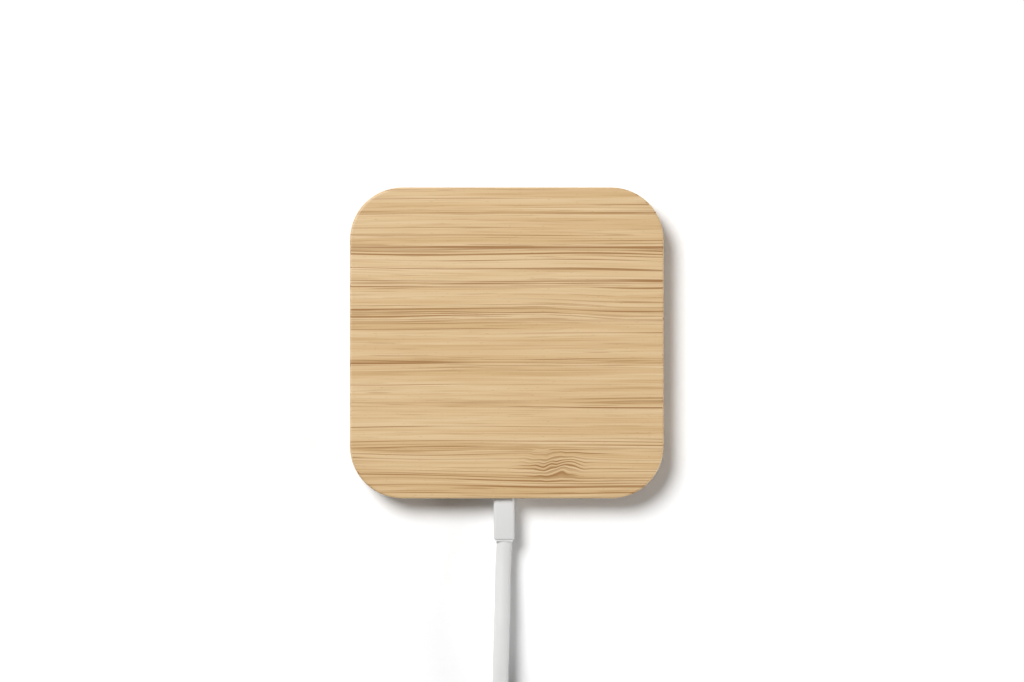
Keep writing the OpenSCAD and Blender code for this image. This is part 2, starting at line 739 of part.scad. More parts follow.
bamboo_case();
base_plate();
base_screws();
for (i = [0:3]) foot(i);
strain_relief();
cable_jacket_end();
wire_red();
wire_black();
wire_green();
wire_white();
solder_joints();
coil_winding();
coil_lead_inner();
coil_lead_outer();
coil_tape();
ferrite_tape();
ferrite_sheet();
insulating_foam();
circuit_board();
controller_chip();
bridge_transistors();
resonant_capacitors();
input_capacitors();
sense_resistor();
input_fuse();
chip_resistors();
chip_capacitors();
coil_thermistor();
status_led();
light_pipe();
cord_run();
cord_coil();
cord_tail();
coil_ties();
plug_grip();
plug_jacket_end();
plug_inner_mould();
plug_wires();
plug_shell();
plug_insulator();
plug_contacts();
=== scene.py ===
"""Looks of a bamboo wireless charging pad with a moulded base, a fixed cord and a USB-A plug.

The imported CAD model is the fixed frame. Pieces whose CAD shape is right keep it and get a
finish; the cord, its ties, the strain relief, the plug's grip and shell, the winding, the
solder and the board's components are modelled here and stand for their CAD nodes.
Sizes are given in millimetres in each class and become metres as the meshes are made.
"""

import logging
import math
from contextlib import contextmanager
from dataclasses import dataclass, field
from enum import Enum
from functools import partial
from typing import Any, Callable, Iterator

import bmesh
import bpy
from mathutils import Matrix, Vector

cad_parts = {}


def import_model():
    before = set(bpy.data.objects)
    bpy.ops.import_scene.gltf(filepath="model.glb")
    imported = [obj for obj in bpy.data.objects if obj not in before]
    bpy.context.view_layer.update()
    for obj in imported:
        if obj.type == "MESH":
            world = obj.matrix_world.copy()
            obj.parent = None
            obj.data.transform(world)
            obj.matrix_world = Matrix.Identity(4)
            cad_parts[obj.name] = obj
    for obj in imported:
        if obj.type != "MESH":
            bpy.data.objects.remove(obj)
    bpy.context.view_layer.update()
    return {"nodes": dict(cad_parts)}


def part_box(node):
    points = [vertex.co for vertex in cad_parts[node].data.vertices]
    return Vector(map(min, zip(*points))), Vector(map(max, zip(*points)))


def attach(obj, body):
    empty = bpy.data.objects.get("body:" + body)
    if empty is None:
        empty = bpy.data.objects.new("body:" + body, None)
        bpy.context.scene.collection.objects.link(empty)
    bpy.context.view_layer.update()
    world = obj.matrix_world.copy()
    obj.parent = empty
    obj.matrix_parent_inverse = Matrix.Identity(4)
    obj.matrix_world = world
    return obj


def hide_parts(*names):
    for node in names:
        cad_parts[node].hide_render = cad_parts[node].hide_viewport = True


log = logging.getLogger("charging_pad")

MM = 0.001
# Places this close in metres are the same place
SAME_PLACE = 2e-6
# How nearly an edge or a face has to point along an axis
ALONG, FACING = 0.999, 0.99
Point = tuple[float, float, float]
Colour = tuple[float, float, float, float]


# ---------------------------------------------------------------- modelling helpers


class Element(Enum):
    """What is selected in edit mode."""

    VERT = "verts"
    EDGE = "edges"
    FACE = "faces"


def metres(point: Point) -> Vector:
    """A point given in millimetres, in metres."""
    return Vector(point) * MM


def deselect() -> None:
    """Leaves nothing selected, because an operator acts on all that is."""
    bpy.ops.object.select_all(action="DESELECT")


def only(piece: bpy.types.Object) -> None:
    """Makes one object the only selected one and the active one."""
    deselect()
    piece.select_set(True)
    bpy.context.view_layer.objects.active = piece


def named(name: str) -> bpy.types.Object:
    """Names the object that an operator has just added, and its mesh.

    Args:
        name: The piece's name in the table of pieces.

    Returns:
        The object.
    """
    piece = bpy.context.active_object
    piece.name = name
    piece.data.name = name
    return piece


def settle(piece: bpy.types.Object) -> None:
    """Moves an object's place and size into its mesh, so that it sits at the origin."""
    only(piece)
    bpy.ops.object.transform_apply(location=True, rotation=True, scale=True)


def block(name: str, low: Point, high: Point) -> bpy.types.Object:
    """Adds a cube between two corners.

    Args:
        name: The piece's name.
        low: Its lowest corner, in millimetres.
        high: Its highest corner, in millimetres.

    Returns:
        The object, at the origin.
    """
    deselect()
    middle = (metres(low) + metres(high)) / 2
    bpy.ops.mesh.primitive_cube_add(size=1, location=middle, scale=metres(high) - metres(low))
    piece = named(name)
    settle(piece)
    return piece


def rod(name: str, start: Point, end: Point, radius: float, end_radius: float | None = None,
        sides: int = 48) -> bpy.types.Object:
    """Adds a cylinder or cone between two points.

    Args:
        name: The piece's name.
        start: The middle of its first end, in millimetres.
        end: The middle of its other end, in millimetres.
        radius: Its radius at the first end, in millimetres.
        end_radius: Its radius at the other end, if that differs.
        sides: How many sides it has.

    Returns:
        The object, at the origin.
    """
    deselect()
    a, b = metres(start), metres(end)
    bpy.ops.mesh.primitive_cone_add(
        vertices=sides, radius1=radius * MM, radius2=(end_radius or radius) * MM,
        depth=(b - a).length, location=(a + b) / 2,
        rotation=(b - a).to_track_quat("Z", "Y").to_euler())
    piece = named(name)
    settle(piece)
    return piece


@contextmanager
def shaping(piece: bpy.types.Object) -> Iterator[None]:
    """Holds a piece in edit mode while it is shaped."""
    only(piece)
    bpy.ops.object.mode_set(mode="EDIT")
    try:
        yield
    finally:
        bpy.ops.object.mode_set(mode="OBJECT")


def pick(piece: bpy.types.Object, kind: Element, test: Callable[[Any], bool]) -> int:
    """Selects, in edit mode, the elements that pass a test and no others.

    Args:
        piece: The object in edit mode.
        kind: Vertices, edges or faces.
        test: Says whether an element is wanted.

    Returns:
        How many are selected.
    """
    bpy.ops.mesh.select_mode(type=kind.name)
    bpy.ops.mesh.select_all(action="DESELECT")
    mesh = bmesh.from_edit_mesh(piece.data)
    mesh.normal_update()
    chosen = [e for e in getattr(mesh, kind.value) if test(e)]
    for element in chosen:
        element.select_set(True)
    mesh.select_flush_mode()
    bmesh.update_edit_mesh(piece.data)
    return len(chosen)


def runs_along(axis: int) -> Callable[[Any], bool]:
    """A test for edges that run along X (0), Y (1) or Z (2)."""
    def test(edge: Any) -> bool:
        """True where the edge points along the axis."""
        line = edge.verts[0].co - edge.verts[1].co
        return abs(line[axis]) > ALONG * line.length
    return test


def faces_to(axis: int, sign: int, beyond: float | None = None) -> Callable[[Any], bool]:
    """A test for faces that look along an axis, past a place on it in millimetres if given."""
    def test(face: Any) -> bool:
        """True where the face looks that way and lies that far out."""
        out = face.calc_center_median()[axis] * sign
        far_enough = beyond is None or out > beyond * MM * sign - SAME_PLACE
        return face.normal[axis] * sign > FACING and far_enough
    return test


def lies_at(axis: int, place: float) -> Callable[[Any], bool]:
    """A test for edges that lie wholly at one place on an axis, in millimetres."""
    def test(edge: Any) -> bool:
        """True where both ends are at that place."""
        return all(abs(v.co[axis] - place * MM) < SAME_PLACE for v in edge.verts)
    return test


def extrude(axis: int, length: float) -> None:
    """Extrudes the selected faces along an axis, by a length in millimetres."""
    move = Vector((0, 0, 0))
    move[axis] = length * MM
    bpy.ops.mesh.extrude_region_move(TRANSFORM_OT_translate={"value": move})


def apply_modifier(piece: bpy.types.Object, kind: str, **settings: Any) -> None:
    """Adds a modifier with its settings and applies it.

    Args:
        piece: The object.
        kind: The modifier's type, such as "BOOLEAN".
        settings: Its properties by name.
    """
    only(piece)
    modifier = piece.modifiers.new(kind.lower(), kind)
    for key, value in settings.items():
        setattr(modifier, key, value)
    bpy.ops.object.modifier_apply(modifier=modifier.name)


def cut(piece: bpy.types.Object, *tools: bpy.types.Object) -> None:
    """Cuts the tools' shapes out of a piece, and removes the tools."""
    for tool in tools:
        apply_modifier(piece, "BOOLEAN", operation="DIFFERENCE", solver="EXACT", object=tool)
        bpy.data.objects.remove(tool)


def joined(name: str, parts: list[bpy.types.Object]) -> bpy.types.Object:
    """Joins parts into one piece, each part's materials kept.

    Args:
        name: The piece's name.
        parts: Its parts.

    Returns:
        The piece.
    """
    deselect()
    for part in parts:
        part.select_set(True)
    bpy.context.view_layer.objects.active = parts[0]
    if len(parts) > 1:
        bpy.ops.object.join()
    return named(name)


def copy_at(part: bpy.types.Object, place: Point, angle: float = 0.0) -> bpy.types.Object:
    """Copies a part made at the origin to a place, with a mesh of its own.

    Args:
        part: The part to copy.
        place: Where its origin goes, in millimetres.
        angle: How far it is turned about Z, in radians.

    Returns:
        The copy.
    """
    copy = part.copy()
    copy.data = part.data.copy()
    bpy.context.scene.collection.objects.link(copy)
    copy.rotation_euler.z = angle
    copy.location = metres(place)
    settle(copy)
    return copy


def smooth(piece: bpy.types.Object, degrees: float = 32) -> None:
    """Shades a piece smooth, except where it turns by more than this many degrees."""
    only(piece)
    bpy.ops.object.shade_smooth_by_angle(angle=math.radians(degrees))


def dress(piece: bpy.types.Object, *materials: bpy.types.Material) -> None:
    """Puts materials in a piece's slots, in place of what was there."""
    slots = piece.data.materials
    for index, material in enumerate(materials):
        if index < len(slots):
            slots[index] = material
        else:
            slots.append(material)


def place_in_frame(piece: bpy.types.Object, slot: str, *nodes: str) -> None:
    """Makes a piece ride with the pad and stand for CAD nodes.

    Args:
        piece: The piece.
        slot: The record's material slot; not used.
        nodes: The CAD nodes that it stands for.
    """
    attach(piece, "root")
    if nodes:
        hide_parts(*nodes)
    log.info("%s: %d faces, stands for %s", piece.name,
             len(piece.data.polygons) if piece.type == "MESH" else 0, ", ".join(nodes) or "nothing")


# ---------------------------------------------------------------- finishes


def linear(hex_colour: str) -> Colour:
    """An sRGB hex colour as linear RGBA."""
    channels = [int(hex_colour[i:i + 2], 16) / 255 for i in (1, 3, 5)]
    red, green, blue = (c / 12.92 if c <= 0.04045 else ((c + 0.055) / 1.055) ** 2.4 for c in channels)
    return red, green, blue, 1.0


def grey(value: float) -> Colour:
    """A linear grey."""
    return value, value, value, 1.0


def pattern(size: Point, shift: Point = (0.0, 0.0, 0.0)) -> dict[str, Point]:
    """The mapping that makes one unit of a pattern its real size.

    Args:
        size: The pattern's size along X, Y and Z in millimetres.
        shift: An offset that keeps it from repeating another pattern.

    Returns:
        The mapping's values by name.
    """
    return {"Location": shift, "Scale": tuple(1 / length for length in size)}


def ramp(low: float, high: float, to_low: float = 0.0, to_high: float = 1.0) -> dict[str, float]:
    """The values that turn the range low to high into another range, held outside it."""
    return {"From Min": low, "From Max": high, "To Min": to_low, "To Max": to_high}


def add_node(tree: bpy.types.NodeTree, kind: str, inputs: dict[int | str, Any], output: int | str = 0,
             stops: list[tuple[float, Colour]] | None = None, **settings: Any) -> bpy.types.NodeSocket:
    """Adds a node with its settings, values and links.

    Args:
        tree: The material's node tree.
        kind: The node's type, without its prefix.
        inputs: Values for its sockets, or sockets to link them to.
        output: Which of its outputs to return.
        stops: The places and colours of a colour ramp.
        settings: The node's properties by name.

    Returns:
        The output's socket.
    """
    node = tree.nodes.new("ShaderNode" + kind)
    for key, value in settings.items():
        setattr(node, key, value)
    for key, value in inputs.items():
        if isinstance(value, bpy.types.NodeSocket):
            tree.links.new(value, node.inputs[key])
        else:
            node.inputs[key].default_value = value
    for index, (place, colour) in enumerate(stops or []):
        elements = node.color_ramp.elements
        element = elements[index] if index < len(elements) else elements.new(1.0)
        element.position, element.color = place, colour
    return node.outputs[output]


class Surface:
    """A material being made: its tree, its shader, and the piece's own coordinates in millimetres."""

    def __init__(self, name: str) -> None:
        """Starts a material with a Principled shader."""
        self.material = bpy.data.materials.new(name)
        self.material.use_nodes = True
        self.tree = self.material.node_tree
        self.shader = self.tree.nodes["Principled BSDF"]
        self.add = partial(add_node, self.tree)
        place = self.add("TexCoord", {}, "Object")
        self.mm = self.add("VectorMath", {0: place, "Scale": 1 / MM}, operation="SCALE")

    def set(self, **values: float | Colour) -> None:
        """Sets uniform values on the shader's own sockets, with _ for a space."""
        for key, value in values.items():
            self.shader.inputs[key.replace("_", " ")].default_value = value

    def link(self, **values: bpy.types.NodeSocket) -> None:
        """Links values to the shader's sockets, with _ for a space."""
        for key, value in values.items():
            self.tree.links.new(value, self.shader.inputs[key.replace("_", " ")])


@dataclass(frozen=True)
class Finish:
    """What every finish has: its name, and the making of its material once."""

    name: str

    def material(self) -> bpy.types.Material:
        """The finish's material, made the first time that it is asked for."""
        made = bpy.data.materials.get(self.name)
        return made or self.make()

    def make(self) -> bpy.types.Material:
        """Makes the material."""
        raise NotImplementedError


def finish_nodes(nodes: dict[str, bpy.types.Object], finishes: dict[str, Finish]) -> None:
    """Gives CAD nodes whose shapes are right as they are their finishes.

    Args:
        nodes: The frame's CAD nodes by name.
        finishes: A finish for each of the nodes concerned.
    """
    for name, finish in finishes.items():
        dress(nodes[name], finish.material())
        log.info("%s: CAD shape, %s", name, finish.name)


@dataclass(frozen=True)
class Strip:
    """One strip of the laminated board, from the +Y edge down.

    Width, reach above and reach below are in millimetres, and so is the sway of its fibres.
    The others go from 0 to 1: tone from pale to golden, and how its fibres crowd at its +Y edge.
    """

    width: float
    tone: float
    crowded: float
    above: float
    below: float
    sway: float


@dataclass(frozen=True)
class Grain:
    """What the bamboo's patterns share, as sockets.

    Crowd is how close the dark bundles lie, tone goes from pale to golden, glue is the lines
    between strips, and along is the place with X down the fibres and Y across them.
    """

    crowd: bpy.types.NodeSocket
    tone: bpy.types.NodeSocket
    glue: bpy.types.NodeSocket
    along: bpy.types.NodeSocket


@dataclass(frozen=True)
class Fibres:
    """One kind of dark mark in the bamboo, drawn by a stretched noise.

    Size is in millimetres along and across the fibres. Crowding says how much more of it shows
    where the bundles lie close, shows is the noise from where it starts to where it is full,
    and dark is how dark it gets.
    """

    size: Point
    shift: Point
    detail: float
    crowding: float
    shows: tuple[float, float]
    dark: float


@dataclass(frozen=True)
class LaminatedBamboo(Finish):
    """Solid bamboo glued up from strips, planed, sanded and sealed with a thin satin lacquer.

    Dark fibre bundles about 0.3 mm thick run along X. They crowd where each strip's outer,
    denser side meets the next strip, so the surface reads as calm pale bands between lined
    ones. One growth node of the cane bends the fibres near a corner.
    """

    depth: float = 89.2
    pale: str = "#d8bc92"
    golden: str = "#c09c68"
    fibre: str = "#8f5f28"
    strips: tuple[Strip, ...] = (
        Strip(7.4, 0.45, 0.75, 0.0, 1.0, 0.3),
        Strip(9.9, 0.50, 0.95, 0.9, 1.6, 0.4),
        Strip(11.2, 0.15, 1.00, 1.6, 2.3, 0.8),
        Strip(9.5, 0.35, 0.85, 3.4, 1.2, 1.8),
        Strip(12.0, 0.55, 0.95, 4.3, 3.0, 0.4),
        Strip(11.5, 0.45, 1.00, 1.0, 3.4, 0.6),
        Strip(13.5, 0.40, 1.00, 1.0, 2.0, 0.6),
        Strip(11.9, 0.55, 0.80, 2.4, 2.4, 1.8),
        Strip(2.2, 0.60, 0.95, 2.6, 2.2, 0.8),
    )
    glue_width: float = 0.32
    knuckle: Point = (13.0, -35.0, 8.0)
    knuckle_size: Point = (14.0, 7.0, 12.0)
    # Long bundles run most of the board's width; short ones and pores start and end anywhere
    long: Fibres = Fibres((140.0, 0.42, 0.42), (0, 0, 0), 0.6, 0.165, (0.345, 0.285), 1.0)
    short: Fibres = Fibres((22.0, 0.36, 0.36), (5, 3, 1), 1.0, 0.1, (0.35, 0.26), 0.6)
    pores: Fibres = Fibres((1.6, 0.2, 0.2), (8, 2, 4), 0.0, 0.0, (0.25, 0.18), 0.4)
    darkest: float = 0.84

    def make(self) -> bpy.types.Material:
        """Builds the grain from the strips down to the pores, then the lacquer."""
        s = Surface(self.name)
        grain = self.lay_strips(s)
        comb = self.comb(s, grain)
        lines = self.bundles(s, grain, comb)
        base = self.ground(s, grain, comb)
        colour = s.add("Mix", {0: lines, 6: base, 7: linear(self.fibre)}, 2, data_type="RGBA")
        gloss = s.add("MapRange", {"Value": comb, **ramp(0.0, 1.0, 0.40, 0.50)})
        # Sanding leaves the hard bundles a few hundredths of a millimetre proud
        combed = s.add("Math", {0: comb, 1: 0.4}, operation="MULTIPLY")
        height = s.add("Math", {0: lines, 1: 0.6, 2: combed}, operation="MULTIPLY_ADD")
        normal = s.add("Bump", {"Height": height, "Distance": 0.03 * MM, "Strength": 0.5})
        s.link(Base_Color=colour, Roughness=gloss, Normal=normal)
        s.set(IOR=1.5, Coat_Weight=0.15, Coat_Roughness=0.3)
        return s.material

    def lay_strips(self, s: Surface) -> Grain:
        """Works out what changes from strip to strip, and how the fibres run.

        Args:
            s: The surface being made.

        Returns:
            What the patterns share.
        """
        x, y, z = s.add("SeparateXYZ", {0: s.mm}).node.outputs
        from_edge = s.add("Math", {0: self.depth / 2, 1: y}, operation="SUBTRACT")
        share = s.add("Math", {0: from_edge, 1: self.depth}, operation="DIVIDE")
        crowd, glue, offset, tone, sway = (
            s.add("ValToRGB", {0: share}, stops=stops) for stops in self.across())
        for socket in (offset, tone, sway):
            socket.node.color_ramp.interpolation = "CONSTANT"
        crowd.node.color_ramp.interpolation = "EASE"
        near = self.near_knuckle(s)
        crowded = s.add("Math", {0: near, 1: 0.75}, operation="MULTIPLY")
        crowd = s.add("Math", {0: crowd, 1: crowded}, operation="MAXIMUM")
        bent = self.bend(s, y, offset, sway, near)
        deeper = s.add("Math", {0: offset, 1: 140.0, 2: z}, operation="MULTIPLY_ADD")
        along = s.add("CombineXYZ", {0: x, 1: bent, 2: deeper})
        return Grain(crowd, tone, glue, along)

    def across(self) -> list[list[tuple[float, Colour]]]:
        """The ramps across the grain.

        Returns:
            The stops of crowding, glue lines, pattern offset, tone and sway.
        """
        crowd, glue, offset, tone, sway = [], [], [], [], []
        top = 0.0
        for index, strip in enumerate(self.strips):
            at = top / self.depth
            offset.append((at, grey(index * 0.37 % 1)))
            tone.append((at, grey(strip.tone)))
            sway.append((at, grey(strip.sway / 5)))
            if index:
                half_line = self.glue_width / 2
                crowd.append(((top - strip.above) / self.depth, grey(0)))
                crowd.append(((top - strip.above * 0.4) / self.depth, grey(strip.crowded)))
                crowd.append(((top + strip.below) / self.depth, grey(0)))
                glue.append(((top - half_line) / self.depth, grey(0)))
                glue.append((at, grey(0.35 + 0.4 * strip.crowded)))
                glue.append(((top + half_line) / self.depth, grey(0)))
            top += strip.width
        return [crowd, glue, offset, tone, sway]

    def near_knuckle(self, s: Surface) -> bpy.types.NodeSocket:
        """How near a place is to the cane's growth node, from 0 to 1."""
        middle = tuple(-place / size for place, size in zip(self.knuckle, self.knuckle_size))
        away = s.add("Mapping", {"Vector": s.mm, **pattern(self.knuckle_size, middle)})
        reach = s.add("VectorMath", {0: away}, "Value", operation="LENGTH")
        return s.add("MapRange", {"Value": reach, **ramp(1.0, 0.1)}, interpolation_type="SMOOTHSTEP")

    def bend(self, s: Surface, y: bpy.types.NodeSocket, offset: bpy.types.NodeSocket,
             sway: bpy.types.NodeSocket, near: bpy.types.NodeSocket) -> bpy.types.NodeSocket:
        """Where across the grain a fibre comes from: it sways in its strip, and ripples at the growth node.

        Args:
            s: The surface being made.
            y: The place across the grain, in millimetres.
            offset: The strip's own offset, which keeps its sway from its neighbour's.
            sway: A fifth of how far its fibres sway.
            near: How near the growth node is.

        Returns:
            The place's socket.
        """
        apart = s.add("CombineXYZ", {2: s.add("Math", {0: offset, 1: 9.0}, operation="MULTIPLY")})
        place = s.add("Mapping", {"Vector": s.mm, **pattern((52.0, 14.0, 20.0))})
        place = s.add("VectorMath", {0: place, 1: apart}, operation="ADD")
        drift = s.add("TexNoise", {"Vector": place, "Scale": 1.0, "Detail": 0.0})
        drift = s.add("MapRange", {"Value": drift, **ramp(0.0, 1.0, -5.0, 5.0)})
        moved = s.add("Math", {0: drift, 1: sway, 2: y}, operation="MULTIPLY_ADD")
        place = s.add("Mapping", {"Vector": s.mm, **pattern((6.0, 6.5, 6.0), (4, 4, 4))})
        ripple = s.add("TexNoise", {"Vector": place, "Scale": 1.0, "Detail": 1.0})
        ripple = s.add("MapRange", {"Value": ripple, **ramp(0.0, 1.0, -2.2, 2.2)})
        return s.add("Math", {0: ripple, 1: near, 2: moved}, operation="MULTIPLY_ADD")

    def comb(self, s: Surface, grain: Grain) -> bpy.types.NodeSocket:
        """The combed look of the finest fibres, drawn at twice their real 0.1 mm so that they show."""
        place = s.add("Mapping", {"Vector": grain.along, **pattern((26.0, 0.23, 0.23), (1, 7, 2))})
        return s.add("TexNoise", {"Vector": place, "Scale": 1.0, "Detail": 2.0, "Roughness": 0.6})

    def draw(self, s: Surface, grain: Grain, fibres: Fibres) -> bpy.types.NodeSocket:
        """Draws one kind of dark mark.

        Args:
            s: The surface being made.
            grain: What the patterns share.
            fibres: The kind of mark.

        Returns:
            How dark it makes each place.
        """
        place = s.add("Mapping", {"Vector": grain.along, **pattern(fibres.size, fibres.shift)})
        noise = s.add("TexNoise", {"Vector": place, "Scale": 1.0, "Detail": fibres.detail})
        noise = s.add("Math", {0: grain.crowd, 1: -fibres.crowding, 2: noise}, operation="MULTIPLY_ADD")
        shown = {"Value": noise, **ramp(*fibres.shows, 0.0, fibres.dark)}
        return s.add("MapRange", shown, interpolation_type="SMOOTHSTEP")

    def bundles(self, s: Surface, grain: Grain, comb: bpy.types.NodeSocket) -> bpy.types.NodeSocket:
        """Draws the dark bundles, the glue lines and the pores.

        Args:
            s: The surface being made.
            grain: What the patterns share.
            comb: The finest fibres.

        Returns:
            How dark each place is, from 0 to 1.
        """
        # Each long bundle fades and comes back along its length, and so do the glue lines
        place = s.add("Mapping", {"Vector": grain.along, **pattern((30.0, 0.9, 3.0), (3, 9, 6))})
        fading = s.add("TexNoise", {"Vector": place, "Scale": 1.0, "Detail": 0.0})
        faded = {"Value": fading, **ramp(0.3, 0.62, 0.4, 1.0)}
        fading = s.add("MapRange", faded, interpolation_type="SMOOTHSTEP")
        long, short, pores = (self.draw(s, grain, kind) for kind in (self.long, self.short, self.pores))
        seams = s.add("Math", {0: long, 1: grain.glue}, operation="MAXIMUM")
        seams = s.add("Math", {0: seams, 1: fading}, operation="MULTIPLY")
        fine = s.add("MapRange", {"Value": comb, **ramp(0.5, 0.3)}, interpolation_type="SMOOTHSTEP")
        room = s.add("Math", {0: grain.crowd, 1: 0.36, 2: 0.22}, operation="MULTIPLY_ADD")
        fine = s.add("Math", {0: fine, 1: room}, operation="MULTIPLY")
        dark = seams
        for other in (short, pores, fine):
            dark = s.add("Math", {0: dark, 1: other}, operation="MAXIMUM")
        return s.add("Math", {0: dark, 1: self.darkest}, operation="MULTIPLY")

    def ground(self, s: Surface, grain: Grain, comb: bpy.types.NodeSocket) -> bpy.types.NodeSocket:
        """Mixes the pale wood between the bundles.

        Args:
            s: The surface being made.
            grain: What the patterns share.
            comb: The finest fibres.

        Returns:
            The colour's socket.
        """
        place = s.add("Mapping", {"Vector": grain.along, **pattern((90.0, 1.9, 3.0), (2, 1, 5))})
        bands = s.add("TexNoise", {"Vector": place, "Scale": 1.0, "Detail": 1.0})
        banded = {"Value": bands, **ramp(0.3, 0.7, 0.35, 0.85)}
        bands = s.add("MapRange", banded, interpolation_type="SMOOTHSTEP")
        warmth = s.add("Math", {0: grain.tone, 1: 0.55, 2: bands}, operation="MULTIPLY_ADD")
        warmth = s.add("Math", {0: comb, 1: -0.9, 2: warmth}, operation="MULTIPLY_ADD")
        return s.add("Mix", {0: warmth, 6: linear(self.pale), 7: linear(self.golden)}, 2, data_type="RGBA")


class Polymer(Enum):
    """The pad's plastics: refractive index, usual roughness, how far light goes in (mm), and how much."""

    ABS = (1.54, 0.48, 0.0, 0.0)
    TPE = (1.50, 0.52, 0.6, 0.2)
    SILICONE = (1.41, 0.62, 0.4, 0.1)
    PVC = (1.53, 0.38, 0.3, 0.1)
    PBT = (1.55, 0.42, 0.2, 0.1)
    PE = (1.52, 0.45, 0.8, 0.5)
    EPOXY = (1.55, 0.55, 0.0, 0.0)

    @property
    def ior(self) -> float:
        """Its index of refraction."""
        return self.value[0]

    @property
    def roughness(self) -> float:
        """Its usual roughness."""
        return self.value[1]

    @property
    def depth(self) -> float:
        """How far light goes in, in millimetres."""
        return self.value[2]

    @property
    def cloudy(self) -> float:
        """How much of the light scatters inside it."""
        return self.value[3]


@dataclass(frozen=True)
class MouldedPlastic(Finish):
    """Moulded or extruded plastic: the mould's fine grain, and slow changes of shade and gloss.

    The grain breaks up the highlight so that the piece reads as satin, never as wet. A soft
    touch gives a faint sheen where the surface turns away, as on matt rubber.
    """

    polymer: Polymer
    colour: str
    shade: str
    grain: float = 0.25
    relief: float = 0.006
    drawn: Point = (1.0, 1.0, 1.0)
    soft_touch: float = 0.0

    def make(self) -> bpy.types.Material:
        """Builds the shade, the gloss and the grain."""
        s = Surface(self.name)
        place = s.add("Mapping", {"Vector": s.mm, **pattern((9.0, 9.0, 9.0))})
        slow = s.add("TexNoise", {"Vector": place, "Scale": 1.0, "Detail": 2.0})
        size = tuple(self.grain * length for length in self.drawn)
        place = s.add("Mapping", {"Vector": s.mm, **pattern(size, (3, 1, 2))})
        grain = s.add("TexNoise", {"Vector": place, "Scale": 1.0, "Detail": 2.0, "Roughness": 0.6})
        share = s.add("MapRange", {"Value": slow, **ramp(0.3, 0.7, 0.0, 0.65)})
        share = s.add("Math", {0: grain, 1: 0.35, 2: share}, operation="MULTIPLY_ADD")
        colour = s.add("Mix", {0: share, 6: linear(self.colour), 7: linear(self.shade)}, 2, data_type="RGBA")
        mean = s.add("Math", {0: slow, 1: grain}, operation="ADD")
        middle = self.polymer.roughness
        gloss = s.add("MapRange", {"Value": mean, **ramp(0.6, 1.4, middle - 0.05, middle + 0.06)})
        normal = s.add("Bump", {"Height": grain, "Distance": self.relief * MM, "Strength": 1.0})
        s.link(Base_Color=colour, Roughness=gloss, Normal=normal)
        s.set(IOR=self.polymer.ior, Sheen_Weight=self.soft_touch)
        if self.polymer.depth:
            s.set(Subsurface_Weight=self.polymer.cloudy, Subsurface_Radius=(1.0, 1.0, 1.0),
                  Subsurface_Scale=self.polymer.depth * MM)
        return s.material


@dataclass(frozen=True)
class Metal(Finish):
    """Plated, drawn or reflowed metal: fine marks of how it was made, more in its gloss than its colour."""

    colour: str
    shade: str
    roughness: float
    marks: Point = (0.3, 0.3, 0.3)
    relief: float = 0.003

    def make(self) -> bpy.types.Material:
        """Builds the marks and the tarnish."""
        s = Surface(self.name)
        place = s.add("Mapping", {"Vector": s.mm, **pattern(self.marks)})
        marks = s.add("TexNoise", {"Vector": place, "Scale": 1.0, "Detail": 3.0, "Roughness": 0.6})
        place = s.add("Mapping", {"Vector": s.mm, **pattern((2.5, 2.5, 2.5), (1, 2, 3))})
        tarnish = s.add("TexNoise", {"Vector": place, "Scale": 1.0, "Detail": 2.0})
        tarnish = s.add("MapRange", {"Value": tarnish, **ramp(0.35, 0.75)})
        shades = {6: linear(self.colour), 7: linear(self.shade)}
        colour = s.add("Mix", {0: tarnish, **shades}, 2, data_type="RGBA")
        smoothest, roughest = self.roughness - 0.07, self.roughness + 0.1
        gloss = s.add("MapRange", {"Value": marks, **ramp(0.3, 0.7, smoothest, roughest)})
        normal = s.add("Bump", {"Height": marks, "Distance": self.relief * MM, "Strength": 1.0})
        s.link(Base_Color=colour, Roughness=gloss, Normal=normal)
        s.set(Metallic=1.0)
        return s.material


@dataclass(frozen=True)
class EnamelledLitz(Finish):
    """Litz wire: dozens of enamelled copper strands twisted together.

    The clear amber enamel gives an orange gloss, and the strands' lay shows as slanted lines.
    They lie 0.54 mm apart, several times wider than real strands, so that they show.
    """

    colour: str = "#b8683a"
    shade: str = "#7d3c1d"
    lines_apart: float = 0.5403

    def make(self) -> bpy.types.Material:
        """Builds the strands and the enamel."""
        s = Surface(self.name)
        place = s.add("Mapping", {"Vector": s.mm, **pattern((1.2, 1.2, 1.2))})
        wobble = s.add("TexNoise", {"Vector": place, "Scale": 1.0, "Detail": 1.0})
        # On a flat face, the bands of a diagonal wave of scale 1 lie this far apart
        unit = 2 * math.pi / (10 * math.sqrt(2))
        waves = {"Scale": unit / self.lines_apart, "Distortion": 1.5, "Detail": 2.0, "Detail Scale": 1.3}
        lay = s.add("TexWave", {"Vector": s.mm, **waves}, "Fac",
                    wave_type="BANDS", bands_direction="DIAGONAL")
        wobbly = s.add("Math", {0: wobble, 1: 0.4}, operation="MULTIPLY")
        share = s.add("Math", {0: lay, 1: 0.6, 2: wobbly}, operation="MULTIPLY_ADD")
        colour = s.add("Mix", {0: share, 6: linear(self.shade), 7: linear(self.colour)}, 2, data_type="RGBA")
        gloss = s.add("MapRange", {"Value": wobble, **ramp(0.3, 0.7, 0.28, 0.4)})
        normal = s.add("Bump", {"Height": lay, "Distance": 0.03 * MM, "Strength": 0.6})
        s.link(Base_Color=colour, Roughness=gloss, Normal=normal)
        s.set(Metallic=0.85, Coat_Weight=0.5, Coat_Roughness=0.12)
        return s.material


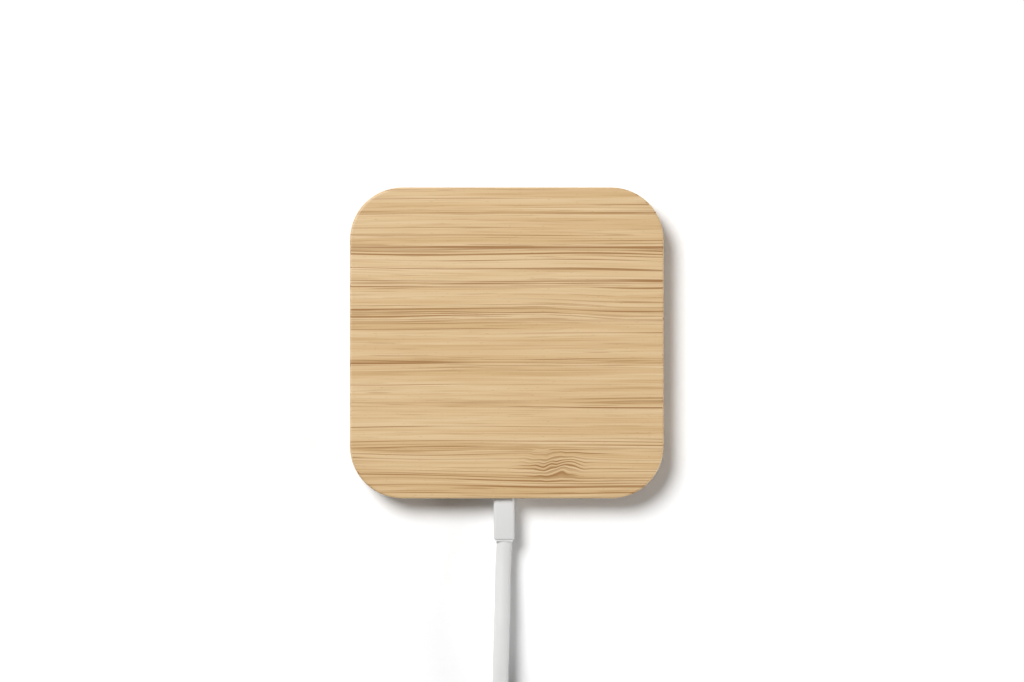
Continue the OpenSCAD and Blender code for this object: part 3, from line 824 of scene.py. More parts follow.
@dataclass(frozen=True)
class SolderMask(Finish):
    """Glass-epoxy board under green solder mask: copper shows through it as a paler green.

    Traces 0.25 mm wide run 1.7 mm apart, with vias 0.5 mm across.
    """

    mask: str = "#155c39"
    over_copper: str = "#2f8a57"
    via: str = "#b9b48c"
    trace_edge: float = 0.12
    trace_length: float = 13.0
    trace_apart: float = 1.7
    via_apart: float = 3.1
    weave: float = 0.4

    def make(self) -> bpy.types.Material:
        """Builds the traces, the vias and the laminate's faint weave."""
        s = Surface(self.name)
        laid = {"Scale": 1.0, "Mortar Size": self.trace_edge, "Mortar Smooth": 0.1,
                "Brick Width": self.trace_length, "Row Height": self.trace_apart,
                "Color1": grey(0), "Color2": linear("#4d4d4d"), "Mortar": grey(1)}
        traces = s.add("TexBrick", {"Vector": s.mm, **laid}, "Color", offset=0.37)
        spots = {"Vector": s.mm, "Scale": 1 / self.via_apart, "Randomness": 0.7}
        vias = s.add("TexVoronoi", spots, "Distance")
        vias = s.add("MapRange", {"Value": vias, **ramp(0.1, 0.07)})
        weave = s.add("TexChecker", {"Vector": s.mm, "Scale": 1 / self.weave}, "Fac")
        weave = s.add("Math", {0: weave, 1: 0.06}, operation="MULTIPLY")
        shown = s.add("Math", {0: traces, 1: weave}, operation="MAXIMUM")
        greens = {6: linear(self.mask), 7: linear(self.over_copper)}
        board = s.add("Mix", {0: shown, **greens}, 2, data_type="RGBA")
        colour = s.add("Mix", {0: vias, 6: board, 7: linear(self.via)}, 2, data_type="RGBA")
        gloss = s.add("MapRange", {"Value": vias, **ramp(0.0, 1.0, 0.34, 0.5)})
        normal = s.add("Bump", {"Height": traces, "Distance": 0.03 * MM, "Strength": 1.0})
        s.link(Base_Color=colour, Roughness=gloss, Normal=normal)
        s.set(IOR=1.55, Coat_Weight=0.3, Coat_Roughness=0.2)
        return s.material


@dataclass(frozen=True)
class Granular(Finish):
    """Sintered, foamed or fibrous sheet: grains or cells of one real size in two shades."""

    colour: str
    shade: str
    cell: float
    relief: float
    roughness: float
    ior: float = 1.5
    sharp: float = 0.5

    def make(self) -> bpy.types.Material:
        """Builds the cells and a slow change of shade."""
        s = Surface(self.name)
        cells = s.add("TexVoronoi", {"Vector": s.mm, "Scale": 1 / self.cell}, "Distance")
        place = s.add("Mapping", {"Vector": s.mm, **pattern((5.0, 5.0, 5.0))})
        slow = s.add("TexNoise", {"Vector": place, "Scale": 1.0, "Detail": 2.0})
        share = s.add("MapRange", {"Value": slow, **ramp(0.3, 0.7, 0.0, 0.5)})
        share = s.add("Math", {0: cells, 1: self.sharp, 2: share}, operation="MULTIPLY_ADD")
        colour = s.add("Mix", {0: share, 6: linear(self.colour), 7: linear(self.shade)}, 2, data_type="RGBA")
        smoothest, roughest = self.roughness - 0.06, self.roughness + 0.06
        gloss = s.add("MapRange", {"Value": slow, **ramp(0.3, 0.7, smoothest, roughest)})
        normal = s.add("Bump", {"Height": cells, "Distance": self.relief * MM, "Strength": 1.0})
        s.link(Base_Color=colour, Roughness=gloss, Normal=normal)
        s.set(IOR=self.ior)
        return s.material


@dataclass(frozen=True)
class ClearPlastic(Finish):
    """Clear or milky moulded plastic that guides light, with a faint flow pattern in its surface."""

    colour: str
    shade: str
    roughness: float
    clear: float

    def make(self) -> bpy.types.Material:
        """Builds the flow marks in a transmitting shader."""
        s = Surface(self.name)
        place = s.add("Mapping", {"Vector": s.mm, **pattern((0.8, 2.5, 0.8))})
        flow = s.add("TexNoise", {"Vector": place, "Scale": 1.0, "Detail": 2.0})
        colour = s.add("Mix", {0: flow, 6: linear(self.colour), 7: linear(self.shade)}, 2, data_type="RGBA")
        gloss = s.add("MapRange", {"Value": flow, **ramp(0.3, 0.7, self.roughness, self.roughness + 0.08)})
        normal = s.add("Bump", {"Height": flow, "Distance": 0.01 * MM, "Strength": 1.0})
        s.link(Base_Color=colour, Roughness=gloss, Normal=normal)
        s.set(IOR=1.49, Transmission_Weight=self.clear)
        return s.material


BAMBOO = LaminatedBamboo("bamboo_satin_lacquer")
# Extruded and overmoulded TPE: soft, nearly matt, a hair warmer where it is thick
CORD_TPE = MouldedPlastic("cord_jacket_tpe", Polymer.TPE, "#d7d7d6", "#d3d3d2", grain=0.5, relief=0.008,
                          drawn=(1, 6, 1), soft_touch=0.25)
RELIEF_TPE = MouldedPlastic("strain_relief_tpe", Polymer.TPE, "#d7d7d6", "#d3d3d2", grain=0.35, relief=0.008,
                            soft_touch=0.25)
GRIP_TPE = MouldedPlastic("plug_grip_tpe", Polymer.TPE, "#d7d7d6", "#d3d3d2", grain=0.35, relief=0.01,
                          soft_touch=0.25)
BASE_ABS = MouldedPlastic("base_plate_abs", Polymer.ABS, "#ecebe7", "#e3e2dd", grain=0.3, relief=0.02)
FOOT_SILICONE = MouldedPlastic("foot_silicone", Polymer.SILICONE, "#4a4b4c", "#3f4041", grain=0.3,
                               relief=0.012)
TIE_PVC = MouldedPlastic("twist_tie_pvc", Polymer.PVC, "#efefec", "#e5e5e1", grain=0.4, relief=0.01)
WIRE_RED = MouldedPlastic("wire_pvc_red", Polymer.PVC, "#c4302b", "#ab2420", drawn=(1, 8, 1))
WIRE_BLACK = MouldedPlastic("wire_pvc_black", Polymer.PVC, "#232426", "#191a1b", drawn=(1, 8, 1))
WIRE_GREEN = MouldedPlastic("wire_pvc_green", Polymer.PVC, "#2f8f4e", "#24793f", drawn=(1, 8, 1))
WIRE_WHITE = MouldedPlastic("wire_pvc_white", Polymer.PVC, "#f0f0ec", "#e3e3de", drawn=(1, 8, 1))
PLUG_WIRES = MouldedPlastic("plug_wire_pvc", Polymer.PVC, "#bcbcba", "#a9a9a7", drawn=(8, 1, 1))
INNER_MOULD = MouldedPlastic("inner_mould_pe", Polymer.PE, "#d2d9da", "#c3cbcd", grain=0.5, relief=0.02)
PLUG_BLOCK = MouldedPlastic("plug_insulator_pbt", Polymer.PBT, "#f3f3f0", "#e8e8e4", grain=0.2)
CHIP_EPOXY = MouldedPlastic("chip_moulded_epoxy", Polymer.EPOXY, "#2b2c2f", "#232427", grain=0.08,
                            relief=0.008)
FUSE_BODY = MouldedPlastic("fuse_body_ceramic", Polymer.EPOXY, "#dcd6c1", "#cdc6ae", grain=0.1)
THERMISTOR = MouldedPlastic("thermistor_epoxy", Polymer.EPOXY, "#2a3242", "#1f2531", grain=0.3, relief=0.02)
# Nickel-plated steel strip: bright, with fine rolling marks along the plug
PLUG_STEEL = Metal("plug_nickel_steel", "#dcdddd", "#c6c7c9", 0.3, marks=(4.0, 0.12, 0.12))
SCREW_STEEL = Metal("screw_zinc_steel", "#c3c6cb", "#a3a7ae", 0.33, marks=(0.2, 0.2, 0.2), relief=0.006)
CONTACT_GOLD = Metal("contact_gold_flash", "#dcb55a", "#c79a3f", 0.22, marks=(1.5, 0.1, 0.1))
# Reflowed solder and the tinned ends of small parts: silvery with a slight grain
SOLDER = Metal("solder_tin", "#d2d4d6", "#b5b8bb", 0.28, marks=(0.25, 0.25, 0.25), relief=0.01)
LITZ = EnamelledLitz("litz_enamelled_copper")
BOARD = SolderMask("board_solder_mask")
# Sintered nickel-zinc ferrite: charcoal, faintly sparkling from its grains
FERRITE = Granular("ferrite_sintered", "#3f4144", "#2c2e31", cell=0.25, relief=0.012, roughness=0.55, ior=2.0)
# Closed-cell polyethylene foam, its cells 0.35 mm across
FOAM = Granular("foam_polyethylene", "#5f6266", "#484b4f", cell=0.35, relief=0.06, roughness=0.85)
# Double-sided tissue tape: milky, with the tissue's fibres showing
TAPE = Granular("tape_adhesive_tissue", "#ebe6d4", "#dcd5bd", cell=0.7, relief=0.01, roughness=0.4)
# Barium-titanate chip capacitor: fine-grained tan ceramic
CAPACITOR = Granular("capacitor_ceramic", "#c19766", "#a67c4e", cell=0.12, relief=0.006, roughness=0.42)
LED_LENS = ClearPlastic("led_phosphor_silicone", "#f4e9a8", "#e9d98a", 0.3, 0.25)
ACRYLIC = ClearPlastic("light_pipe_acrylic", "#f7fafb", "#eef4f6", 0.3, 0.45)


# ---------------------------------------------------------------- studio


@dataclass(frozen=True)
class Lamp:
    """A round softbox that points at the pad.

    Its elevation and its bearing from +X are in degrees. A white floor under it alone would
    be as bright as its share.
    """

    name: str
    elevation: float
    bearing: float
    size: float
    share: float
    distance: float = 2500.0

    def hang(self) -> None:
        """Hangs the lamp with the power that gives its share."""
        lamp = bpy.data.lights.new(self.name, "AREA")
        lamp.shape, lamp.size = "DISK", self.size * MM
        up, turn = math.radians(self.elevation), math.radians(self.bearing)
        away = Vector((math.cos(up) * math.cos(turn), math.cos(up) * math.sin(turn), math.sin(up)))
        lamp.energy = self.share * (math.pi * self.distance * MM) ** 2 / math.sin(up)
        holder = bpy.data.objects.new(self.name, lamp)
        bpy.context.scene.collection.objects.link(holder)
        holder.location = away * self.distance * MM
        holder.rotation_euler = away.to_track_quat("Z", "Y").to_euler()


@dataclass
class Studio:
    """Camera, light and floor: a straight-down view on a pale sweep, lit softly from the far left."""

    aim: Point = (1.48, 0.57, 8.8)
    height: float = 1000.0
    view_width: float = 293.5
    sensor: float = 36.0
    key: Lamp = Lamp("key_softbox", 52.0, 133.9, 1290.0, 0.94)
    low: Lamp = Lamp("low_softbox", 14.0, -24.0, 900.0, 0.11)
    surround_share: float = 0.16
    floor_size: float = 12000.0
    sweep: float = 1500.0

    def place_camera(self) -> bpy.types.Object:
        """Hangs the camera over the pad, looking straight down.

        Returns:
            The camera.
        """
        camera = bpy.data.objects.new("camera", bpy.data.cameras.new("camera"))
        bpy.context.scene.collection.objects.link(camera)
        camera.location = metres((self.aim[0], self.aim[1], self.aim[2] + self.height))
        camera.data.sensor_width = self.sensor
        camera.data.lens = self.sensor * self.height / self.view_width
        camera.data.clip_start, camera.data.clip_end = 0.01, 50.0
        bpy.context.scene.camera = camera
        return camera

    def light(self) -> None:
        """Adds a large soft lamp, a weak low one opposite, and an even white surround."""
        self.key.hang()
        self.low.hang()
        world = bpy.data.worlds.new("white_surround")
        bpy.context.scene.world = world
        world.use_nodes = True
        # The surround is plain white to look at, and lights the pad by surround_share
        seen = add_node(world.node_tree, "LightPath", {}, "Is Camera Ray")
        shown = {"Value": seen, **ramp(0, 1, self.surround_share, 1)}
        strength = add_node(world.node_tree, "MapRange", shown)
        surround = world.node_tree.nodes["Background"]
        surround.inputs["Color"].default_value = linear("#ffffff")
        world.node_tree.links.new(strength, surround.inputs["Strength"])
        bpy.context.scene.view_settings.view_transform = "Standard"

    def lay_floor(self) -> None:
        """Lays a wide matt white sweep under the pad, with its edge turned up far away."""
        deselect()
        bpy.ops.mesh.primitive_plane_add(size=self.floor_size * MM)
        floor = named("floor_sweep")
        turned_up = (0, self.sweep * MM, self.sweep * MM)
        with shaping(floor):
            pick(floor, Element.EDGE, lies_at(1, self.floor_size / 2))
            bpy.ops.mesh.extrude_region_move(TRANSFORM_OT_translate={"value": turned_up})
        s = Surface("floor_matt_paper")
        place = s.add("Mapping", {"Vector": s.mm, **pattern((2.0, 2.0, 2.0))})
        fleck = s.add("TexNoise", {"Vector": place, "Scale": 1.0, "Detail": 2.0})
        colour = s.add("Mix", {0: fleck, 6: linear("#fafafa"), 7: linear("#f7f7f7")}, 2, data_type="RGBA")
        s.link(Base_Color=colour)
        s.set(Roughness=0.9, Specular_IOR_Level=0.1)
        dress(floor, s.material)


# ---------------------------------------------------------------- cord


@dataclass
class Cord:
    """The fixed cord: out of the strain relief, along the table, through its coil, and to the plug."""

    diameter: float = 4.5
    length: float = 1000.0
    run: tuple[Point, ...] = (
        (-0.8, -57.0, 4.2), (-0.8, -58.5, 4.2), (-1.0, -62.0, 4.3), (-1.2, -68.0, 4.7),
        (-1.3, -75.0, 5.3), (-1.5, -82.0, 5.8), (-1.7, -90.0, 6.0), (-1.9, -98.0, 5.7),
        (-2.2, -108.0, 4.8), (-2.4, -118.0, 3.6), (-2.5, -126.0, 3.0),
    )
    tail: tuple[Point, ...] = (
        (35.0, -163.9, 7.4), (43.0, -165.6, 6.6), (50.5, -169.5, 5.3), (56.2, -175.5, 3.8),
        (58.8, -182.5, 2.7), (57.5, -190.0, 2.3), (52.5, -195.8, 2.3), (45.0, -198.3, 2.4),
        (37.0, -198.8, 2.9), (29.0, -198.8, 3.6), (21.0, -198.8, 4.0), (15.0, -198.8, 4.0),
    )
    coil_centre: tuple[float, float] = (27.0, -134.0)
    radii: Point = (29.5, 25.0, 20.5)
    layers: tuple[float, float] = (2.95, 7.45)
    # Changes of ring and layer start after this many turns, and each takes a part of a turn
    inward: tuple[float, float] = (0.75, 1.75)
    climb: float = 2.5
    outward: tuple[float, float] = (3.25, 4.25)
    change: float = 0.25
    turns: float = 5.25
    steps: int = 16

    def coil_point(self, turn: float) -> Point:
        """A point of the coil.

        Args:
            turn: How many turns of cord lie before it.

        Returns:
            The point, in millimetres.
        """
        outer, middle, inner = self.radii
        rings = ((outer, middle), (middle, inner), (inner, middle), (middle, outer))
        radius = outer
        for start, (before, after) in zip((*self.inward, *self.outward), rings):
            if turn > start:
                radius = before + (after - before) * self.eased((turn - start) / self.change)
        low, high = self.layers
        height = low + (high - low) * self.eased((turn - self.climb) / self.change)
        angle = math.pi + 2 * math.pi * turn
        x, y = self.coil_centre
        return x + radius * math.cos(angle), y + radius * math.sin(angle), height

    @staticmethod
    def eased(share: float) -> float:
        """A share from 0 to 1 with a soft start and end."""
        share = min(1.0, max(0.0, share))
        return share * share * (3 - 2 * share)

    def route(self) -> list[Point]:
        """The whole route from the strain relief to the plug."""
        count = round(self.turns * self.steps)
        coil = [self.coil_point(k / self.steps) for k in range(count + 1)]
        return [*self.run, *coil, *self.tail]

    def build(self) -> bpy.types.Object:
        """Lays the cord as one curve.

        Returns:
            The cord.
        """
        curve = bpy.data.curves.new("cord", "CURVE")
        curve.dimensions = "3D"
        curve.bevel_depth = self.diameter / 2 * MM
        curve.bevel_resolution = 5
        curve.resolution_u = 6
        curve.use_fill_caps = True
        spline = curve.splines.new("BEZIER")
        points = self.route()
        spline.bezier_points.add(len(points) - 1)
        for knot, point in zip(spline.bezier_points, points):
            knot.co = metres(point)
            knot.handle_left_type = knot.handle_right_type = "AUTO"
        cord = bpy.data.objects.new("cord", curve)
        bpy.context.scene.collection.objects.link(cord)
        dress(cord, CORD_TPE.material())
        place_in_frame(cord, "cord_tpe", "cord_run", "cord_coil", "cord_tail")
        return cord


@dataclass
class TwistTies:
    """Two paper-thin PVC ties with a steel wire in them, wrapped round the coil and twisted shut."""

    centre: Point = (27.0, -134.0, 5.2)
    radius: float = 25.0
    angles: tuple[float, float] = (20.0, 200.0)
    width: float = 4.0
    thickness: float = 0.6
    opening: tuple[float, float] = (13.85, 9.1)
    corner: float = 2.0
    ridge: float = 0.15
    tail_length: float = 12.0
    tail_width: float = 1.36
    tail_height: float = 0.5
    slices: int = 48
    twists: int = 3

    def band(self) -> bpy.types.Object:
        """The loop round the coil, made at the origin with its width along Y.

        Returns:
            The loop.
        """
        across, high = (self.opening[0] / 2 + self.thickness, self.opening[1] / 2 + self.thickness)
        band = block("tie_band", (-across, -self.width / 2, -high), (across, self.width / 2, high))
        with shaping(band):
            pick(band, Element.EDGE, runs_along(1))
            bpy.ops.mesh.bevel(offset=self.corner * MM, segments=6)
            pick(band, Element.FACE, lambda f: abs(f.normal.y) > FACING)
            bpy.ops.mesh.delete(type="FACE")
            # The wire in the tie stands out as a low ridge along its middle
            pick(band, Element.EDGE, runs_along(1))
            bpy.ops.mesh.subdivide(number_cuts=6)
            pick(band, Element.VERT, lambda v: abs(v.co.y) < self.width * 0.1 * MM)
            bpy.ops.transform.resize(value=(1 - self.ridge / across, 1, 1 - self.ridge / high))
            pick(band, Element.VERT, lambda v: abs(v.co.y) > self.width * 0.1 * MM)
            bpy.ops.transform.resize(value=(1 - 2 * self.ridge / across, 1, 1 - 2 * self.ridge / high))
        sheet = self.thickness - 2 * self.ridge
        apply_modifier(band, "SOLIDIFY", thickness=sheet * MM, offset=-1.0)
        smooth(band)
        return band

    def tail(self) -> bpy.types.Object:
        """The two ends twisted together, made at the origin along Y.

        Returns:
            The twisted ends.
        """
        half, thick = self.tail_width / 2, self.tail_height / 2
        tail = block("tie_tail", (-half, 0.0, -thick), (half, self.tail_length, thick))
        with shaping(tail):
            pick(tail, Element.EDGE, runs_along(1))
            bpy.ops.mesh.subdivide(number_cuts=self.slices - 1)
            pick(tail, Element.EDGE, runs_along(0))
            bpy.ops.mesh.subdivide(number_cuts=3)
            pick(tail, Element.VERT, lambda v: abs(v.co.x) < 0.1 * MM)
            bpy.ops.transform.resize(value=(1, 1, 1.8))
        for step in range(self.slices + 1):
            self.turn_slice(tail, step)
        smooth(tail, 60)
        return tail

    def turn_slice(self, tail: bpy.types.Object, step: int) -> None:
        """Turns one slice of the tail about its length, by its share of all the twists.

        Args:
            tail: The tail.
            step: The slice, counted from the tail's root.
        """
        place = self.tail_length * step / self.slices * MM
        turn = -2 * math.pi * self.twists * step / self.slices
        with shaping(tail):
            pick(tail, Element.VERT, lambda v: abs(v.co.y - place) < SAME_PLACE)
            bpy.ops.transform.rotate(value=turn, orient_axis="Y", center_override=(0, place, 0))

    def build(self) -> bpy.types.Object:
        """Makes both ties as one piece.

        Returns:
            The ties.
        """
        band, tail = self.band(), self.tail()
        over_coil = self.opening[1] / 2 + self.thickness + 0.4
        parts = []
        for angle in self.angles:
            turn = math.radians(angle)
            outward = Vector((math.cos(turn), math.sin(turn), 0)) * (self.radius - 0.125)
            for part, lift in ((band, 0.0), (tail, over_coil)):
                parts.append(copy_at(part, Vector(self.centre) + outward + Vector((0, 0, lift)), turn))
        for part in (band, tail):
            bpy.data.objects.remove(part)
        ties = joined("twist_ties", parts)
        dress(ties, TIE_PVC.material())
        place_in_frame(ties, "tie_pvc", "coil_ties")
        return ties


# ---------------------------------------------------------------- pad


@dataclass
class Case:
    """The bamboo case and the moulded base under it, whose CAD shapes are right as they are."""

    finishes: dict[str, Finish] = field(default_factory=lambda: {
        "bamboo_case": BAMBOO, "base_plate": BASE_ABS, "base_screws": SCREW_STEEL,
        "foot_1": FOOT_SILICONE, "foot_2": FOOT_SILICONE, "foot_3": FOOT_SILICONE, "foot_4": FOOT_SILICONE,
    })

    def dress(self, nodes: dict[str, bpy.types.Object]) -> None:
        """Gives the CAD nodes their finishes."""
        finish_nodes(nodes, self.finishes)


@dataclass
class StrainRelief:
    """The soft sleeve where the cord leaves the case, with its collar inside."""

    middle: float = -0.8
    height: float = 4.2
    wide: float = 6.0
    high: float = 5.4
    corner: float = 0.9
    end_round: float = 0.4
    end: float = -57.0
    nose: float = 0.5
    inner_wall: float = -40.55
    collar: float = 1.5
    collar_thickness: float = 1.6
    collar_height_share: float = 0.965
    bore: float = 4.5

    def build(self) -> bpy.types.Object:
        """Shapes the sleeve, its stepped nose, its collar and its bore.

        Returns:
            The strain relief.
        """
        half, tall = self.wide / 2, self.high / 2
        low = (self.middle - half, self.end + self.nose, self.height - tall)
        relief = block("strain_relief_sleeve", low, (self.middle + half, self.inner_wall, self.height + tall))
        with shaping(relief):
            pick(relief, Element.EDGE, runs_along(1))
            bpy.ops.mesh.bevel(offset=self.corner * MM, segments=5)
            # The rounded end, then a short nose that the cord comes out of
            pick(relief, Element.EDGE, lies_at(1, self.end + self.nose))
            bpy.ops.mesh.bevel(offset=self.end_round * MM, segments=3)
            pick(relief, Element.FACE, faces_to(1, -1))
            extrude(1, -self.nose)
            # The collar that keeps it in the case
            pick(relief, Element.FACE, faces_to(1, 1))
            extrude(1, 0.0)
            wider = (self.wide + 2 * self.collar) / self.wide
            bpy.ops.transform.resize(value=(wider, 1, self.collar_height_share))
            extrude(1, self.collar_thickness)
        inside = self.inner_wall + self.collar_thickness + 1
        cut(relief, rod("bore", (self.middle, self.end - 1, self.height),
                        (self.middle, inside, self.height), self.bore / 2))
        smooth(relief)
        dress(relief, RELIEF_TPE.material())
        place_in_frame(relief, "relief_tpe", "strain_relief")
        return relief


# ---------------------------------------------------------------- plug


@dataclass
class Plug:
    """The USB-A plug: soft grip with a ribbed neck, folded steel shell, and what they hold."""

    back: Point = (15.0, -198.8, 4.0)
    neck: float = 9.0
    grip: float = 24.0
    grip_width: float = 15.6
    grip_height: float = 7.8
    corner: float = 2.2
    grip_end_round: float = 0.6
    recess: float = 0.3
    cord: float = 4.5
    neck_ends: tuple[float, float] = (2.95, 3.6)
    room: float = 0.05
    shell: Point = (18.75, 12.0, 4.5)
    shell_thickness: float = 0.3
    shell_corner: float = 0.6
    latch: tuple[float, float] = (2.5, 2.2)
    latch_place: tuple[float, float] = (6.4, 3.0)
    seam: float = 0.08
    front: float = -30.0
    finishes: dict[str, Finish] = field(default_factory=lambda: {
        "plug_jacket_end": CORD_TPE, "plug_inner_mould": INNER_MOULD, "plug_wires": PLUG_WIRES,
        "plug_insulator": PLUG_BLOCK, "plug_contacts": CONTACT_GOLD,
    })

    def around(self, node: str) -> bpy.types.Object:
        """A cutter a little larger than a CAD node's box."""
        low, high = (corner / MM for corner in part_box(node))
        room = Vector((self.room,) * 3)
        return block("cutter", low - room, high + room)

    def build_grip(self) -> bpy.types.Object:
        """Shapes the grip with its thumb recess and neck, and hollows it for what it holds.

        Returns:
            The grip.
        """
        x, y, z = self.back
        start, end = x - self.neck, x - self.neck - self.grip
        wide, high = self.grip_width / 2, self.grip_height / 2
        grip = block("plug_grip_moulding", (end, y - wide, z - high), (start, y + wide, z + high))
        with shaping(grip):
            pick(grip, Element.EDGE, runs_along(0))
            bpy.ops.mesh.bevel(offset=self.corner * MM, segments=6)
            # A shallow thumb recess on both broad faces
            for sign in (-1, 1):
                pick(grip, Element.FACE, faces_to(2, sign, z + sign * high))
                bpy.ops.mesh.inset(thickness=2.4 * MM, depth=0)
                bpy.ops.mesh.inset(thickness=0.5 * MM, depth=-self.recess * MM)
            for place in (start, end):
                pick(grip, Element.EDGE, lies_at(0, place))
                bpy.ops.mesh.bevel(offset=self.grip_end_round * MM, segments=3)
        neck = rod("neck", (x, y, z), (start - 1.0, y, z), *self.neck_ends)
        with shaping(neck):
            pick(neck, Element.EDGE, lambda e: abs(e.verts[0].co.x - e.verts[1].co.x) > 5 * MM)
            bpy.ops.mesh.subdivide(number_cuts=19)
            # Three drawn-in rings leave four flex ribs between them
            for ring in (x - 2.5, x - 4.5, x - 6.5):
                pick(neck, Element.VERT, lambda v, ring=ring: abs(v.co.x - ring * MM) < 0.3 * MM)
                bpy.ops.transform.resize(value=(1, 0.87, 0.87), center_override=metres((ring, y, z)))
        apply_modifier(grip, "BOOLEAN", operation="UNION", solver="EXACT", object=neck)
        bpy.data.objects.remove(neck)
        jacket_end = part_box("plug_jacket_end")[0].x / MM
        bore = rod("bore", (x + 1, y, z), (jacket_end - self.room, y, z), self.cord / 2)
        cut(grip, bore, *(self.around(node) for node in ("plug_wires", "plug_inner_mould", "plug_shell")))
        smooth(grip)
        dress(grip, GRIP_TPE.material())
        place_in_frame(grip, "relief_tpe", "plug_grip")
        return grip

    def build_shell(self) -> bpy.types.Object:
        """Folds the shell from strip and punches its four latch holes.

        Returns:
            The shell.
        """
        length, width, height = self.shell
        _, y, z = self.back
        low = (self.front, y - width / 2, z - height / 2)
        shell = block("plug_steel_shell", low, (self.front + length, y + width / 2, z + height / 2))
        with shaping(shell):
            pick(shell, Element.EDGE, runs_along(0))
            bpy.ops.mesh.bevel(offset=self.shell_corner * MM, segments=4)
            pick(shell, Element.FACE, lambda f: abs(f.normal.x) > FACING)
            bpy.ops.mesh.delete(type="FACE")
        apply_modifier(shell, "SOLIDIFY", thickness=self.shell_thickness * MM, offset=-1.0)
        back_from_front, aside = self.latch_place
        middle, long, wide = self.front + back_from_front, self.latch[0] / 2, self.latch[1] / 2
        for row in (y - aside, y + aside):
            cut(shell, block("hole", (middle - long, row - wide, z - 5), (middle + long, row + wide, z + 5)))
        # The strip's two edges meet in a seam under the plug, drawn as a shallow groove
        groove_top = (self.front + length + 1, y + self.seam / 2, z - height / 2 + 0.12)
        cut(shell, block("seam", (self.front - 1, y - self.seam / 2, z - 3), groove_top))
        smooth(shell)
        dress(shell, PLUG_STEEL.material())
        place_in_frame(shell, "plug_steel", "plug_shell")
        return shell

    def build(self, nodes: dict[str, bpy.types.Object]) -> list[bpy.types.Object]:
        """Makes the plug's new pieces and dresses the CAD nodes in it.

        Args:
            nodes: The frame's CAD nodes by name.

        Returns:
            The plug's pieces.
        """
        pieces = [self.build_grip(), self.build_shell()]
        finish_nodes(nodes, self.finishes)
        return pieces + [nodes[name] for name in self.finishes]


# ---------------------------------------------------------------- coil and board


@dataclass
class ChargingCoil:
    """The flat winding, its two leads, and the tapes, ferrite and foam that it is stacked with."""

    inner: float = 10.55
    pitch: float = 1.25
    turns: int = 10
    wire: float = 1.1
    middle: float = 6.5
    steps: int = 40
    lobes: int = 5
    lay: float = 16.0
    finishes: dict[str, Finish] = field(default_factory=lambda: {
        "coil_lead_inner": LITZ, "coil_lead_outer": LITZ, "coil_tape": TAPE, "ferrite_tape": TAPE,
        "ferrite_sheet": FERRITE, "insulating_foam": FOAM, "coil_thermistor": THERMISTOR,
    })

    def section(self) -> bpy.types.Object:
        """The bundle's section: five lobes, which become a twist as it turns along the wire.

        Returns:
            A closed curve object.
        """
        deselect()
        bpy.ops.curve.primitive_bezier_circle_add(radius=self.wire / 2 * MM)
        section = bpy.context.active_object
        section.data.resolution_u = 1
        spline = section.data.splines[0]
        count = 3 * self.lobes
        spline.bezier_points.add(count - len(spline.bezier_points))
        for index, knot in enumerate(spline.bezier_points):
            angle = 2 * math.pi * index / count
            radius = self.wire / 2 * (1.0 if index % 3 else 0.86) * MM
            knot.co = (radius * math.cos(angle), radius * math.sin(angle), 0)
            knot.handle_left_type = knot.handle_right_type = "VECTOR"
        return section

    def build(self, nodes: dict[str, bpy.types.Object]) -> None:
        """Winds the coil and dresses the stack.

        Args:
            nodes: The frame's CAD nodes by name.
        """
        section = self.section()
        curve = bpy.data.curves.new("coil_litz_winding", "CURVE")
        curve.dimensions = "3D"
        curve.resolution_u = 3
        curve.bevel_mode = "OBJECT"
        curve.bevel_object = section
        curve.use_fill_caps = True
        spline = curve.splines.new("BEZIER")
        count = self.turns * self.steps
        spline.bezier_points.add(count)
        twist = 0.0
        for index, knot in enumerate(spline.bezier_points):
            turn = index / self.steps
            radius = self.inner + self.pitch * turn
            angle = math.pi + 2 * math.pi * turn
            knot.co = metres((radius * math.cos(angle), radius * math.sin(angle), self.middle))
            knot.handle_left_type = knot.handle_right_type = "AUTO"
            knot.tilt = twist
            # The bundle turns once in every lay of wire
            twist += 2 * math.pi * radius / self.steps / self.lay * 2 * math.pi
        winding = bpy.data.objects.new("coil_litz_winding", curve)
        bpy.context.scene.collection.objects.link(winding)
        only(winding)
        bpy.ops.object.convert(target="MESH")
        bpy.data.objects.remove(section)
        winding = bpy.context.active_object
        with shaping(winding):
            bpy.ops.mesh.select_all(action="SELECT")
            bpy.ops.mesh.remove_doubles(threshold=SAME_PLACE)
            bpy.ops.mesh.normals_make_consistent(inside=False)
        smooth(winding, 50)
        dress(winding, LITZ.material())
        place_in_frame(winding, "litz_copper", "coil_winding")
        finish_nodes(nodes, self.finishes)


@dataclass(frozen=True)
class SmallParts:
    """Equal two-ended parts under the board: their CAD node, slot, size, body and places."""

    node: str
    slot: str
    size: Point
    body: Finish
    places: tuple[tuple[float, float], ...]
    turned: bool | tuple[bool, ...] = False


COLUMN = tuple(2.0 + 3 * k for k in range(5))


